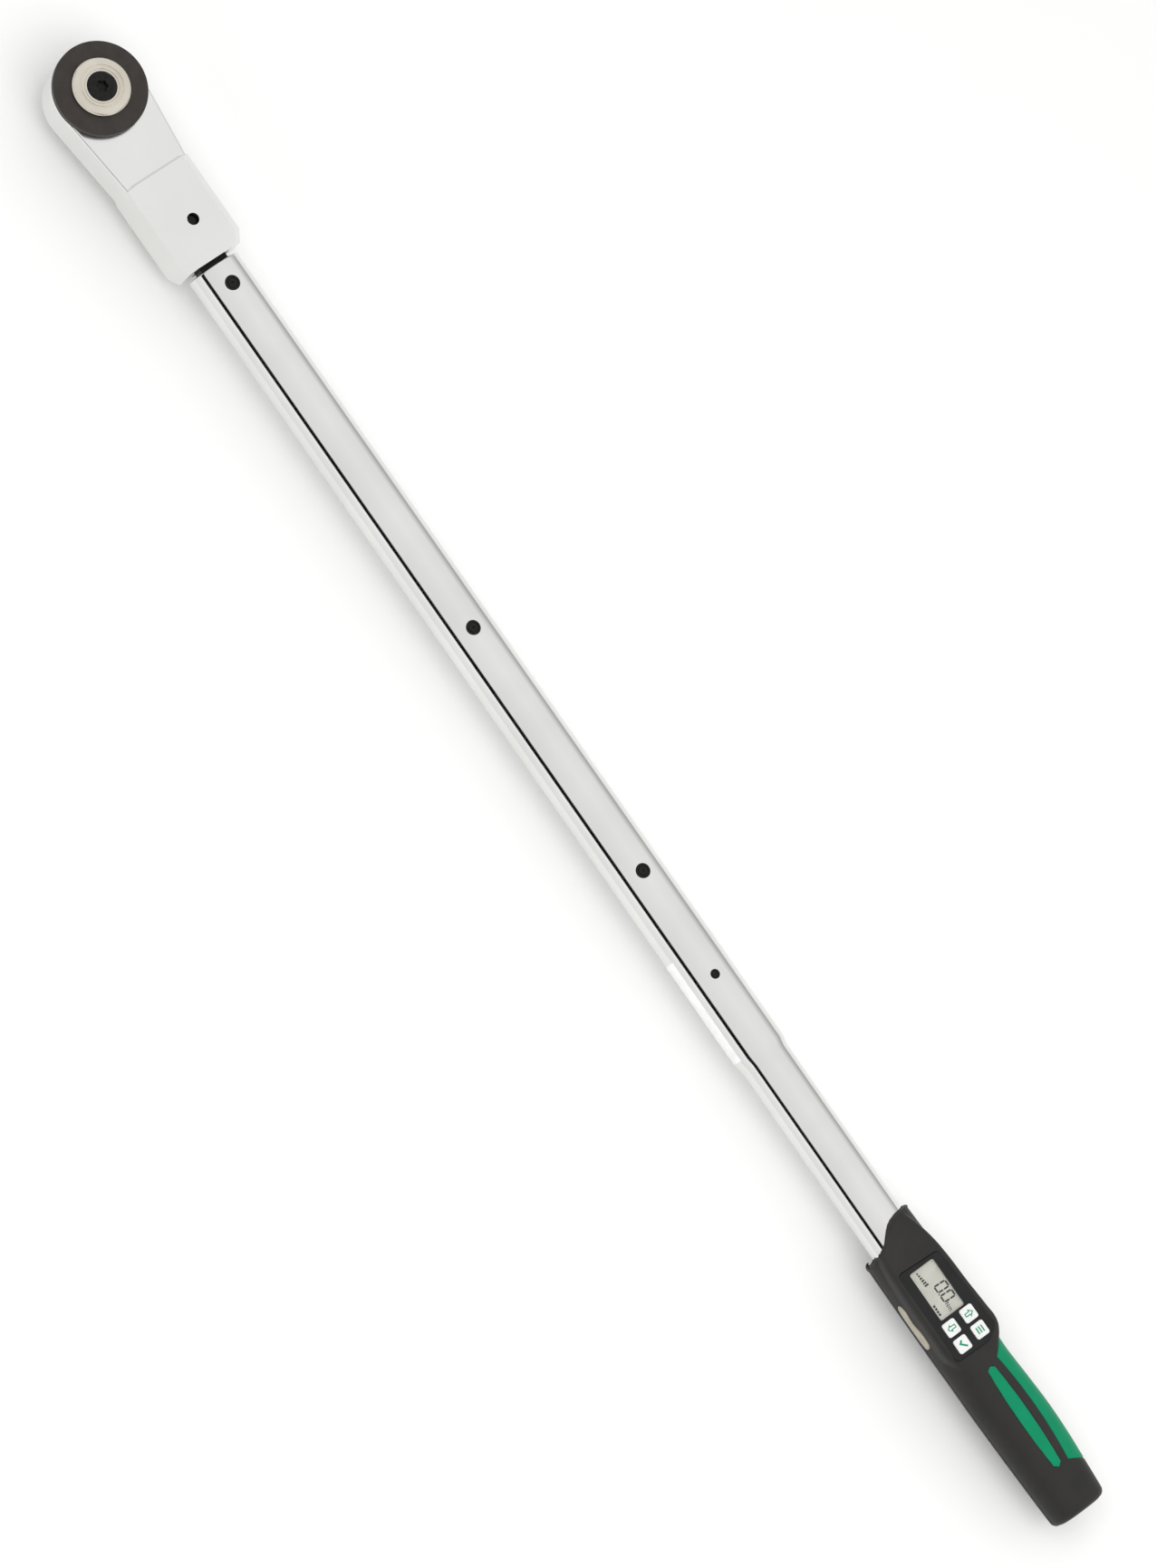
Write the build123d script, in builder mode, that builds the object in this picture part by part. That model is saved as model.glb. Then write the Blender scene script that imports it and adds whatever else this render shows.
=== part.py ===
from build123d import *

import math
import os

# Electronic click torque wrench with a 3/4 inch square drive.
# Frame: origin at the centre of the square's end face, +Z up, +X along the tube to the handle.
# Heights below are measured from the tube axis, which stands AXIS_Z above the origin.

os.makedirs("parts", exist_ok=True)

# ---- driving dimensions (mm) ----
SQUARE = 19.05
SQUARE_LENGTH = 23.8
SHOULDER = 1.2
HEAD_HALF = 16.0
HEAD_RADIUS = 35.6
AXIS_Z = SQUARE_LENGTH + SHOULDER + HEAD_HALF

FIT = 0.05  # radial clearance of a pin or shaft
GAP = 0.1  # clearance between faces that meet

BLOCK_FRONT, BLOCK_END = 74.0, 149.0
BLOCK_WIDTH, BLOCK_HEIGHT = 55.3, 47.8
BLOCK_CORNER = 6.2
SHANK_WIDTH, SHANK_HEIGHT = 28.0, 22.0
LOCK_X = 116.9

TUBE_START, NECK_START, NECK_END, TUBE_END = 152.5, 849.0, 860.0, 1160.0
TUBE_A, TUBE_B = 21.75, 15.75  # half width and half height of the oval
THIN_A, THIN_B = 20.15, 14.5  # the same past the necked-down step
TUBE_WALL = 3.0

PIVOT_X, LATCH_X, ANCHOR_X, GUIDE_X = 170.7, 477.3, 693.4, 785.2

HANDLE_START, HANDLE_END = 1003.5, 1260.0
HANDLE_WALL = 2.6
PARTING = -1.5  # height of the seam between the handle's two shells


def level(height):
    """Horizontal plane at a height from the tube axis."""
    return Plane.XY.offset(AXIS_Z + height)


def section(x):
    """Plane across the tube, its x along +Y and its y along +Z."""
    return Plane(origin=(x, 0, AXIS_Z), x_dir=(0, 1, 0), z_dir=(1, 0, 0))


def facing(y, x=0.0, height=0.0):
    """Vertical plane that faces -Y, its x along +X and its y along +Z."""
    return Plane(origin=(x, y, AXIS_Z + height), x_dir=(1, 0, 0), z_dir=(0, -1, 0))


# ================================ ratchet head ================================

TEETH = 48
TOOTH_ROOT, TOOTH_TIP = 21.6, 23.8
GEAR_HALF = 9.0
JOURNAL_R = 15.0
CAVITY_R = 24.6
ROOF = 9.3  # underside of the head's top wall
COVER_TOP = -12.0

PAWL_X = 38.0
PAWL_SWING = 5.0  # degrees each side of its middle position
PAWL_PIN_R = 2.5
DIAL_SWING = 15.0  # degrees each side of its middle position
SELECTOR_RADIUS = 30.0
SELECTOR_R = 2.0
DETENT_RADIUS, DETENT_ANGLE = 28.0, 165.0
DETENT_R = 2.0

POCKET_X0, POCKET_X1, POCKET_HALF = 16.0, 45.5, 20.5
COVER_R = 31.0
COVER_X1, COVER_HALF = 53.5, 25.0
SCREW_RADIUS = 27.2
SCREW_SHANK_R, SCREW_HEAD_R, SCREW_HEAD_H = 2.0, 3.4, 2.2
COVER_SCREW_PLACES = [(-SCREW_RADIUS, 0), (0, SCREW_RADIUS), (0, -SCREW_RADIUS), (49, 13), (49, -13)]

DIAL_R, DIAL_BOTTOM, DIAL_TOP = 35.8, 16.3, 22.8
HUB_R, HUB_TOP = 22.3, 26.5
HUB_SPIGOT_R = 15.1
HUB_SEAT = 16.7
HUB_POCKET_R, HUB_POCKET_FLOOR = 11.2, 22.0
CAP_R, CAP_TOP = 11.0, 27.0
HUB_KEY = 14.0
HUB_KEY_HEIGHT = 3.0
DIAL_POCKET = 4.0  # depth of the blind holes under the dial
HUB_GROOVE_OUTER, HUB_GROOVE_INNER, HUB_GROOVE_DEPTH = 16.5, 15.2, 0.5
LOBE_CORE_R, LOBE_R, LOBE_PLACE, LOBE_DEPTH = 3.9, 1.0, 3.7, 3.4
RIM_CHAMFER, HUB_CHAMFER = 0.8, 1.1


def gear_outline(gap):
    """Corner points of the ratchet wheel, grown by a gap."""
    points = []
    for tooth in range(TEETH):
        for step, radius in ((0.0, TOOTH_ROOT), (0.5, TOOTH_TIP)):
            angle = 2 * math.pi * (tooth + step) / TEETH
            points.append(((radius + gap) * math.cos(angle), (radius + gap) * math.sin(angle)))
    return points


def arc_slot_line(radius, middle, half_angle):
    """Centre line of a curved slot about the drive axis."""
    return CenterArc((0, 0), radius, middle - half_angle, 2 * half_angle)


def housing_outline(x, height, drop=0.0):
    """Section of the square housing, its corners bevelled."""
    with BuildSketch(section(x)) as outline:
        Rectangle(BLOCK_WIDTH - 2 * drop, height - 2 * drop)
        chamfer(outline.vertices(), length=BLOCK_CORNER)
    return outline.sketch


# The neck leaves the round head on a tangent and narrows to the housing's width.
NECK_SLOPE = 6.3
TANGENT = (
    HEAD_RADIUS * math.sin(math.radians(NECK_SLOPE)),
    HEAD_RADIUS * math.cos(math.radians(NECK_SLOPE)),
)
HEAD_EDGE = 2.4
BLOCK_END_TAPER, BLOCK_END_DROP = 8.5, 4.2
SHOULDER_LENGTH = 2.5
SOCKET_FRONT = 84.0
LOCK_HOLE_R = 4.65
SLOT_HALF_HEIGHT = SELECTOR_R + 0.6
COVER_THREAD, PAWL_PIN_TOP = 9.0, 13.9
TRACK_DEPTH = 0.9

with BuildPart() as head_body:
    with BuildSketch(level(-HEAD_HALF)):
        Circle(HEAD_RADIUS)
        Polygon(
            TANGENT,
            (BLOCK_FRONT + 1, BLOCK_WIDTH / 2),
            (BLOCK_FRONT + 1, -BLOCK_WIDTH / 2),
            (TANGENT[0], -TANGENT[1]),
            align=None,
        )
    extrude(amount=2 * HEAD_HALF)
    fillet(faces().filter_by(Axis.Z).edges(), radius=HEAD_EDGE)
    # the housing: a short sloped shoulder, the body, and a tapered end
    front = housing_outline(BLOCK_FRONT, BLOCK_HEIGHT)
    taper_start = BLOCK_END - BLOCK_END_TAPER
    loft([housing_outline(BLOCK_FRONT - SHOULDER_LENGTH, 2 * HEAD_HALF), front])
    extrude(front, amount=taper_start - BLOCK_FRONT)
    end = housing_outline(BLOCK_END, BLOCK_HEIGHT, BLOCK_END_DROP)
    loft([housing_outline(taper_start, BLOCK_HEIGHT), end])
    # rectangular socket for the lever's shank, with the lock hole above it
    with BuildSketch(section(SOCKET_FRONT)):
        RectangleRounded(SHANK_WIDTH + 2 * GAP, SHANK_HEIGHT + 2 * GAP, 1.5)
    extrude(amount=BLOCK_END - SOCKET_FRONT + 1, mode=Mode.SUBTRACT)
    with BuildSketch(level(0)):
        with Locations((LOCK_X, 0)):
            Circle(LOCK_HOLE_R)
    extrude(amount=BLOCK_HEIGHT, mode=Mode.SUBTRACT)
    # cavity for the wheel and pocket for the pawl, open below under the cover
    with BuildSketch(level(COVER_TOP)):
        Circle(CAVITY_R)
        with Locations(((POCKET_X0 + POCKET_X1) / 2, 0)):
            RectangleRounded(POCKET_X1 - POCKET_X0, 2 * POCKET_HALF, 6)
    extrude(amount=ROOF - COVER_TOP, mode=Mode.SUBTRACT)
    with BuildSketch(level(-HEAD_HALF)):
        Circle(COVER_R)
        with Locations((COVER_X1 / 2, 0)):
            RectangleRounded(COVER_X1, 2 * COVER_HALF, 8)
    extrude(amount=HEAD_HALF + COVER_TOP, mode=Mode.SUBTRACT)
    with BuildSketch(level(COVER_TOP)):
        with Locations(*COVER_SCREW_PLACES):
            Circle(SCREW_SHANK_R + FIT)
    extrude(amount=COVER_THREAD, mode=Mode.SUBTRACT)
    # bore for the spindle's upper journal, slot for the selector pin, hole for the pawl pin
    with BuildSketch(level(0)):
        Circle(JOURNAL_R + FIT)
        SlotArc(arc_slot_line(SELECTOR_RADIUS, 0, DIAL_SWING + 1), 2 * SLOT_HALF_HEIGHT)
    extrude(amount=HEAD_HALF + 1, mode=Mode.SUBTRACT)
    with BuildSketch(level(0)):
        with Locations((PAWL_X, 0)):
            Circle(PAWL_PIN_R + FIT)
    extrude(amount=PAWL_PIN_TOP + GAP, mode=Mode.SUBTRACT)
    # track that the dial's detent ball runs in
    with BuildSketch(level(HEAD_HALF - TRACK_DEPTH)):
        SlotArc(arc_slot_line(DETENT_RADIUS, DETENT_ANGLE, DIAL_SWING + 1), 2 * DETENT_R + 0.2)
    extrude(amount=TRACK_DEPTH + 1, mode=Mode.SUBTRACT)
head_body.part.label = "head_body"
export_step(head_body.part, "parts/head_body.step")

BALL_R, BALL_STANDS_OUT, BALL_HEIGHT = 3.2, 1.0, 10.0
BALL_BORE_DEPTH = 11.0
SQUARE_CHAMFER, TIP_CHAMFER = 0.9, 1.4
BALL_Y = -SQUARE / 2 + BALL_R - BALL_STANDS_OUT
BALL_PLANE = Plane(origin=(0, -SQUARE / 2 - 1, BALL_HEIGHT), x_dir=(1, 0, 0), z_dir=(0, 1, 0))
SPINDLE_TOP = 16.6
TAPPED_R, TAPPED_FLOOR = 5.0, -4.0

with BuildPart() as drive_spindle:
    with BuildSketch():
        Rectangle(SQUARE, SQUARE)
        chamfer(vertices(), length=SQUARE_CHAMFER)
    extrude(amount=SQUARE_LENGTH + 1)
    chamfer(faces().sort_by(Axis.Z)[0].edges(), length=TIP_CHAMFER)
    with BuildSketch(level(-HEAD_HALF - SHOULDER)):
        Circle(JOURNAL_R)
    extrude(amount=HEAD_HALF + SHOULDER + SPINDLE_TOP)
    with BuildSketch(level(-GEAR_HALF)):
        Polygon(*gear_outline(0), align=None)
    extrude(amount=2 * GEAR_HALF)
    with BuildSketch(level(SPINDLE_TOP)):
        RectangleRounded(HUB_KEY, HUB_KEY, 1)
    extrude(amount=HUB_KEY_HEIGHT)
    with BuildSketch(level(TAPPED_FLOOR)):
        Circle(TAPPED_R)
    extrude(amount=SPINDLE_TOP + HUB_KEY_HEIGHT - TAPPED_FLOOR + 1, mode=Mode.SUBTRACT)
    with BuildSketch(BALL_PLANE):
        Circle(BALL_R + FIT)
    extrude(amount=BALL_BORE_DEPTH + 1, mode=Mode.SUBTRACT)
drive_spindle.part.label = "drive_spindle"
export_step(drive_spindle.part, "parts/drive_spindle.step")

with BuildPart() as anvil_ball:
    with Locations((0, BALL_Y, BALL_HEIGHT)):
        Sphere(BALL_R)
anvil_ball.part.label = "anvil_ball"
export_step(anvil_ball.part, "parts/anvil_ball.step")


def spring(base, length, radius, wire_r, turns):
    """Helical spring standing on a plane, its wire wholly between the two ends."""
    path = Helix(pitch=(length - 2 * wire_r) / turns, height=length - 2 * wire_r, radius=radius)
    seat = path.moved(Location((0, 0, wire_r)))
    with BuildPart() as coil:
        with BuildSketch(Plane(origin=seat @ 0, z_dir=seat % 0)):
            Circle(wire_r)
        sweep(path=seat, is_frenet=True)
    return base.location * coil.part


ANVIL_SPRING_START = BALL_Y + BALL_R + 0.3
ANVIL_SPRING_LENGTH = -SQUARE / 2 + BALL_BORE_DEPTH - ANVIL_SPRING_START - 0.2
anvil_spring_base = Plane(
    origin=(0, ANVIL_SPRING_START, BALL_HEIGHT), x_dir=(1, 0, 0), z_dir=(0, 1, 0)
)
with BuildPart() as anvil_spring:
    add(spring(anvil_spring_base, ANVIL_SPRING_LENGTH, 2.3, 0.35, 3))
anvil_spring.part.label = "anvil_spring"
export_step(anvil_spring.part, "parts/anvil_spring.step")

with BuildPart() as reversing_dial:
    with BuildSketch(level(DIAL_BOTTOM)):
        Circle(DIAL_R)
        Circle(HUB_SPIGOT_R + FIT, mode=Mode.SUBTRACT)
    extrude(amount=DIAL_TOP - DIAL_BOTTOM)
    outer_rims = [edge for edge in edges().filter_by(GeomType.CIRCLE) if edge.radius > HUB_R]
    chamfer(outer_rims, length=RIM_CHAMFER)
    selector_turn = math.radians(DIAL_SWING)
    with BuildSketch(level(DIAL_BOTTOM)):
        with Locations(
            (SELECTOR_RADIUS * math.cos(selector_turn), SELECTOR_RADIUS * math.sin(selector_turn))
        ):
            Circle(SELECTOR_R + FIT)
        with Locations((-DETENT_RADIUS, 0)):
            Circle(DETENT_R + FIT)
    extrude(amount=DIAL_POCKET, mode=Mode.SUBTRACT)
reversing_dial.part.label = "reversing_dial"
export_step(reversing_dial.part, "parts/reversing_dial.step")

SELECTOR_BOTTOM = 5.4
with BuildPart() as selector_pin:
    with BuildSketch(level(SELECTOR_BOTTOM)):
        with Locations(
            (SELECTOR_RADIUS * math.cos(selector_turn), SELECTOR_RADIUS * math.sin(selector_turn))
        ):
            Circle(SELECTOR_R)
    extrude(amount=DIAL_BOTTOM + DIAL_POCKET - GAP - SELECTOR_BOTTOM)
    chamfer(edges().group_by(Axis.Z)[0], length=0.5)
selector_pin.part.label = "selector_pin"
export_step(selector_pin.part, "parts/selector_pin.step")

DETENT_Z = HEAD_HALF - TRACK_DEPTH + DETENT_R + FIT
DETENT_SPRING_R = 1.7
with BuildPart() as dial_detent_ball:
    with Locations((-DETENT_RADIUS, 0, AXIS_Z + DETENT_Z)):
        Sphere(DETENT_R)
dial_detent_ball.part.label = "dial_detent_ball"
export_step(dial_detent_ball.part, "parts/dial_detent_ball.step")

with BuildPart() as dial_detent_spring:
    with BuildSketch(level(DETENT_Z + DETENT_R + FIT)):
        with Locations((-DETENT_RADIUS, 0)):
            Circle(DETENT_SPRING_R)
            Circle(DETENT_SPRING_R - 0.5, mode=Mode.SUBTRACT)
    extrude(amount=DIAL_BOTTOM + DIAL_POCKET - GAP - DETENT_Z - DETENT_R - FIT)
dial_detent_spring.part.label = "dial_detent_spring"
export_step(dial_detent_spring.part, "parts/dial_detent_spring.step")

with BuildPart() as dial_hub:
    with BuildSketch(level(HUB_SEAT)):
        Circle(HUB_SPIGOT_R)
    extrude(amount=DIAL_TOP + GAP - HUB_SEAT)
    with BuildSketch(level(DIAL_TOP + GAP)):
        Circle(HUB_R)
    extrude(amount=HUB_TOP - DIAL_TOP - GAP)
    chamfer(edges().group_by(Axis.Z)[-1], length=HUB_CHAMFER)
    with BuildSketch(level(HUB_TOP - HUB_GROOVE_DEPTH)):
        Circle(HUB_GROOVE_OUTER)
        Circle(HUB_GROOVE_INNER, mode=Mode.SUBTRACT)
    extrude(amount=1, mode=Mode.SUBTRACT)
    with BuildSketch(level(HUB_POCKET_FLOOR)):
        Circle(HUB_POCKET_R)
    extrude(amount=HUB_TOP, mode=Mode.SUBTRACT)
    with BuildSketch(level(HUB_SEAT)):
        Circle(TAPPED_R + GAP)
    extrude(amount=HUB_TOP, mode=Mode.SUBTRACT)
    with BuildSketch(level(HUB_SEAT)):
        RectangleRounded(HUB_KEY + 2 * GAP, HUB_KEY + 2 * GAP, 1)
    extrude(amount=HUB_KEY_HEIGHT + GAP, mode=Mode.SUBTRACT)
dial_hub.part.label = "dial_hub"
export_step(dial_hub.part, "parts/dial_hub.step")

with BuildPart() as hub_screw:
    with BuildSketch(level(HUB_POCKET_FLOOR)):
        Circle(CAP_R)
    extrude(amount=CAP_TOP - HUB_POCKET_FLOOR)
    chamfer(edges().group_by(Axis.Z)[-1], length=RIM_CHAMFER)
    with BuildSketch(level(TAPPED_FLOOR + 1)):
        Circle(TAPPED_R - FIT)
    extrude(amount=HUB_POCKET_FLOOR - TAPPED_FLOOR)
    with BuildSketch(level(CAP_TOP - LOBE_DEPTH)):
        Circle(LOBE_CORE_R)
        with PolarLocations(LOBE_PLACE, 6):
            Circle(LOBE_R)
    extrude(amount=LOBE_DEPTH + 1, mode=Mode.SUBTRACT)
hub_screw.part.label = "hub_screw"
export_step(hub_screw.part, "parts/hub_screw.step")

# Rocker pawl, drawn about its pin in its middle position and set over by PAWL_SWING at rest.
pawl_turn = math.radians(PAWL_SWING)
PAWL_BOTTOM, PAWL_TOP = -11.4, 8.7
GROOVE_PLAY = 2.3  # room round the selector pin, which swings on another centre
PAWL_HUB_R = 5.2
PAWL_ARMS = [(-17, 15.8), (-12, 17.2), (2, 5.0), (2, -5.0), (-12, -17.2), (-17, -15.8)]
PAWL_WAIST_R, PAWL_WAIST_X, PAWL_WAIST_WIDTH = TOOTH_TIP + 4.2, 1.5, 8.0
TOOTH_PLAY = 0.15
pawl_plane = Plane(
    origin=(PAWL_X, 0, AXIS_Z + PAWL_BOTTOM),
    x_dir=(math.cos(pawl_turn), math.sin(pawl_turn), 0),
    z_dir=(0, 0, 1),
)
with BuildPart() as rocker_pawl:
    with BuildSketch(pawl_plane):
        Polygon(*PAWL_ARMS, align=None)
        Circle(PAWL_HUB_R)
        with Locations((-PAWL_X, 0)):
            Circle(TOOTH_ROOT + 0.2, mode=Mode.SUBTRACT)
        with Locations((-PAWL_X - PAWL_WAIST_X, 0)):
            Circle(PAWL_WAIST_R, mode=Mode.SUBTRACT)
            Rectangle(2 * PAWL_WAIST_R, PAWL_WAIST_WIDTH, mode=Mode.SUBTRACT)
        Circle(PAWL_HUB_R)
        for side in (-1, 1):
            centre = (-PAWL_X * math.cos(pawl_turn), side * PAWL_X * math.sin(pawl_turn))
            with Locations(Location((*centre, 0), (0, 0, -side * PAWL_SWING))):
                Polygon(*gear_outline(TOOTH_PLAY), align=None, mode=Mode.SUBTRACT)
        Circle(PAWL_PIN_R + FIT + 0.03, mode=Mode.SUBTRACT)
    extrude(amount=PAWL_TOP - PAWL_BOTTOM)
    with BuildSketch(level(SELECTOR_BOTTOM - 0.6)):
        SlotArc(arc_slot_line(SELECTOR_RADIUS, 0, 2 * DIAL_SWING), 2 * (SELECTOR_R + GROOVE_PLAY))
    extrude(amount=PAWL_TOP, mode=Mode.SUBTRACT)
rocker_pawl.part.label = "rocker_pawl"
export_step(rocker_pawl.part, "parts/rocker_pawl.step")

with BuildPart() as pawl_pin:
    with BuildSketch(level(COVER_TOP + GAP)):
        with Locations((PAWL_X, 0)):
            Circle(PAWL_PIN_R)
    extrude(amount=PAWL_PIN_TOP - COVER_TOP - GAP)
pawl_pin.part.label = "pawl_pin"
export_step(pawl_pin.part, "parts/pawl_pin.step")

SEAL_R, SEAL_WIRE, SEAL_Z = 16.15, 1.0, -14.0
HEX_R, HEX_DEPTH = 1.9, 1.4
with BuildPart() as gear_cover:
    with BuildSketch(level(-HEAD_HALF)):
        Circle(COVER_R - GAP)
        with Locations((COVER_X1 / 2, 0)):
            RectangleRounded(COVER_X1 - 2 * GAP, 2 * COVER_HALF - 2 * GAP, 8)
        Circle(JOURNAL_R + FIT, mode=Mode.SUBTRACT)
    extrude(amount=HEAD_HALF + COVER_TOP - GAP)
    with BuildSketch(level(SEAL_Z - SEAL_WIRE - FIT)):
        Circle(SEAL_R + SEAL_WIRE + FIT)
    extrude(amount=2 * (SEAL_WIRE + FIT), mode=Mode.SUBTRACT)
    with BuildSketch(level(-HEAD_HALF)):
        with Locations(*COVER_SCREW_PLACES):
            Circle(SCREW_SHANK_R + FIT)
    extrude(amount=HEAD_HALF, mode=Mode.SUBTRACT)
    with BuildSketch(level(-HEAD_HALF)):
        with Locations(*COVER_SCREW_PLACES):
            Circle(SCREW_HEAD_R + GAP)
    extrude(amount=SCREW_HEAD_H + GAP, mode=Mode.SUBTRACT)
gear_cover.part.label = "gear_cover"
export_step(gear_cover.part, "parts/gear_cover.step")

with BuildPart() as cover_screws:
    with BuildSketch(level(-HEAD_HALF)):
        with Locations(*COVER_SCREW_PLACES):
            Circle(SCREW_HEAD_R)
    extrude(amount=SCREW_HEAD_H)
    with BuildSketch(level(-HEAD_HALF + SCREW_HEAD_H)):
        with Locations(*COVER_SCREW_PLACES):
            Circle(SCREW_SHANK_R)
    extrude(amount=COVER_THREAD)
    with BuildSketch(level(-HEAD_HALF)):
        with Locations(*COVER_SCREW_PLACES):
            RegularPolygon(HEX_R, 6)
    extrude(amount=HEX_DEPTH, mode=Mode.SUBTRACT)
cover_screws.part.label = "cover_screws"
export_step(cover_screws.part, "parts/cover_screws.step")

with BuildPart() as spindle_seal:
    with Locations((0, 0, AXIS_Z + SEAL_Z)):
        Torus(SEAL_R, SEAL_WIRE)
spindle_seal.part.label = "spindle_seal"
export_step(spindle_seal.part, "parts/spindle_seal.step")

# ================================ lever and lock ================================

LEVER_END = 430.0
NECK_X = BLOCK_END - 2.0  # where the shank steps down to the neck
NECK_WIDTH, NECK_HEIGHT = 24.0, 16.0
SHANK_START, SHANK_ROUND, NOSE_TAPER = SOCKET_FRONT + 0.5, 1.4, 25.0
EYE_R = 13.0
BAR_WIDTH, BAR_HALF = 18.0, 7.5
GAUGE_X, GAUGE_LENGTH, GAUGE_WIDTH = 215.0, 36.0, 13.0
NOSE_WIDTH = 13.0
PIVOT_R = 5.8
LOCK_R, LOCK_BOTTOM, LOCK_TOP, LOCK_BORE_FLOOR = 4.4, 1.5, 19.0, -9.0
LOCK_DOME = 1.6

with BuildPart() as bending_lever:
    with BuildSketch(section(SHANK_START)):
        RectangleRounded(SHANK_WIDTH, SHANK_HEIGHT, SHANK_ROUND)
    extrude(amount=NECK_X - SHANK_START)
    with BuildSketch(section(NECK_X)):
        RectangleRounded(NECK_WIDTH, NECK_HEIGHT, SHANK_ROUND)
    extrude(amount=PIVOT_X - NECK_X)
    with BuildSketch(level(-NECK_HEIGHT / 2)):
        with Locations((PIVOT_X, 0)):
            Circle(EYE_R)
    extrude(amount=NECK_HEIGHT)
    with BuildSketch(level(-BAR_HALF)):
        Polygon(
            (PIVOT_X, BAR_WIDTH / 2),
            (LEVER_END - NOSE_TAPER, BAR_WIDTH / 2),
            (LEVER_END, NOSE_WIDTH / 2),
            (LEVER_END, -NOSE_WIDTH / 2),
            (LEVER_END - NOSE_TAPER, -BAR_WIDTH / 2),
            (PIVOT_X, -BAR_WIDTH / 2),
            align=None,
        )
    extrude(amount=2 * BAR_HALF)
    with BuildSketch(level(-BAR_HALF)):
        for side in (-1, 1):
            with Locations((GAUGE_X, side * (GAUGE_WIDTH + BAR_WIDTH) / 4)):
                Rectangle(GAUGE_LENGTH, (BAR_WIDTH - GAUGE_WIDTH) / 2)
    extrude(amount=2 * BAR_HALF, mode=Mode.SUBTRACT)
    with BuildSketch(level(-BLOCK_HEIGHT / 2)):
        with Locations((PIVOT_X, 0)):
            Circle(PIVOT_R + FIT)
    extrude(amount=BLOCK_HEIGHT, mode=Mode.SUBTRACT)
    with BuildSketch(level(LOCK_BORE_FLOOR)):
        with Locations((LOCK_X, 0)):
            Circle(LOCK_R + FIT)
    extrude(amount=BLOCK_HEIGHT, mode=Mode.SUBTRACT)
bending_lever.part.label = "bending_lever"
export_step(bending_lever.part, "parts/bending_lever.step")

with BuildPart() as lock_plunger:
    with BuildSketch(level(LOCK_BOTTOM)):
        with Locations((LOCK_X, 0)):
            Circle(LOCK_R)
    extrude(amount=LOCK_TOP - LOCK_BOTTOM)
    fillet(edges().group_by(Axis.Z)[-1], radius=LOCK_DOME)
lock_plunger.part.label = "lock_plunger"
export_step(lock_plunger.part, "parts/lock_plunger.step")

LOCK_SPRING_R, LOCK_SPRING_WIRE = 3.4, 0.45
lock_spring_base = Plane(origin=(LOCK_X, 0, AXIS_Z + LOCK_BORE_FLOOR + GAP))
with BuildPart() as lock_spring:
    add(spring(lock_spring_base, LOCK_BOTTOM - LOCK_BORE_FLOOR - 2 * GAP, LOCK_SPRING_R, LOCK_SPRING_WIRE, 4))
lock_spring.part.label = "lock_spring"
export_step(lock_spring.part, "parts/lock_spring.step")

FOIL, GLUE = 0.25, 0.02
GAUGE_PITCH, GAUGE_PAD = 16.0, (11.0, 7.0)
with BuildPart() as strain_gauges:
    for side in (-1, 1):
        for x in (GAUGE_X - GAUGE_PITCH / 2, GAUGE_X + GAUGE_PITCH / 2):
            with Locations((x, side * (GAUGE_WIDTH / 2 + GLUE + FOIL / 2), AXIS_Z)):
                Box(GAUGE_PAD[0], FOIL, GAUGE_PAD[1])
strain_gauges.part.label = "strain_gauges"
export_step(strain_gauges.part, "parts/strain_gauges.step")

BUSH_R, BUSH_TOP = 8.0, 11.2
with BuildPart() as pivot_bushes:
    for base in (NECK_HEIGHT / 2 + GAP, -BUSH_TOP):
        with BuildSketch(level(base)):
            with Locations((PIVOT_X, 0)):
                Circle(BUSH_R)
                Circle(PIVOT_R + FIT, mode=Mode.SUBTRACT)
        extrude(amount=BUSH_TOP - NECK_HEIGHT / 2 - GAP)
pivot_bushes.part.label = "pivot_bushes"
export_step(pivot_bushes.part, "parts/pivot_bushes.step")

# ================================ tube ================================

WINDOW_X0, WINDOW_X1, WINDOW_FLOOR = 1039.0, 1121.0, 6.0
ANCHOR_R, GUIDE_R = 5.65, 3.65
TUBE_SCREW_X = (1030.0, 1138.0)
HOUSING_SCREW_R, HOUSING_HEAD_R = 1.9, 3.6

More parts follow.
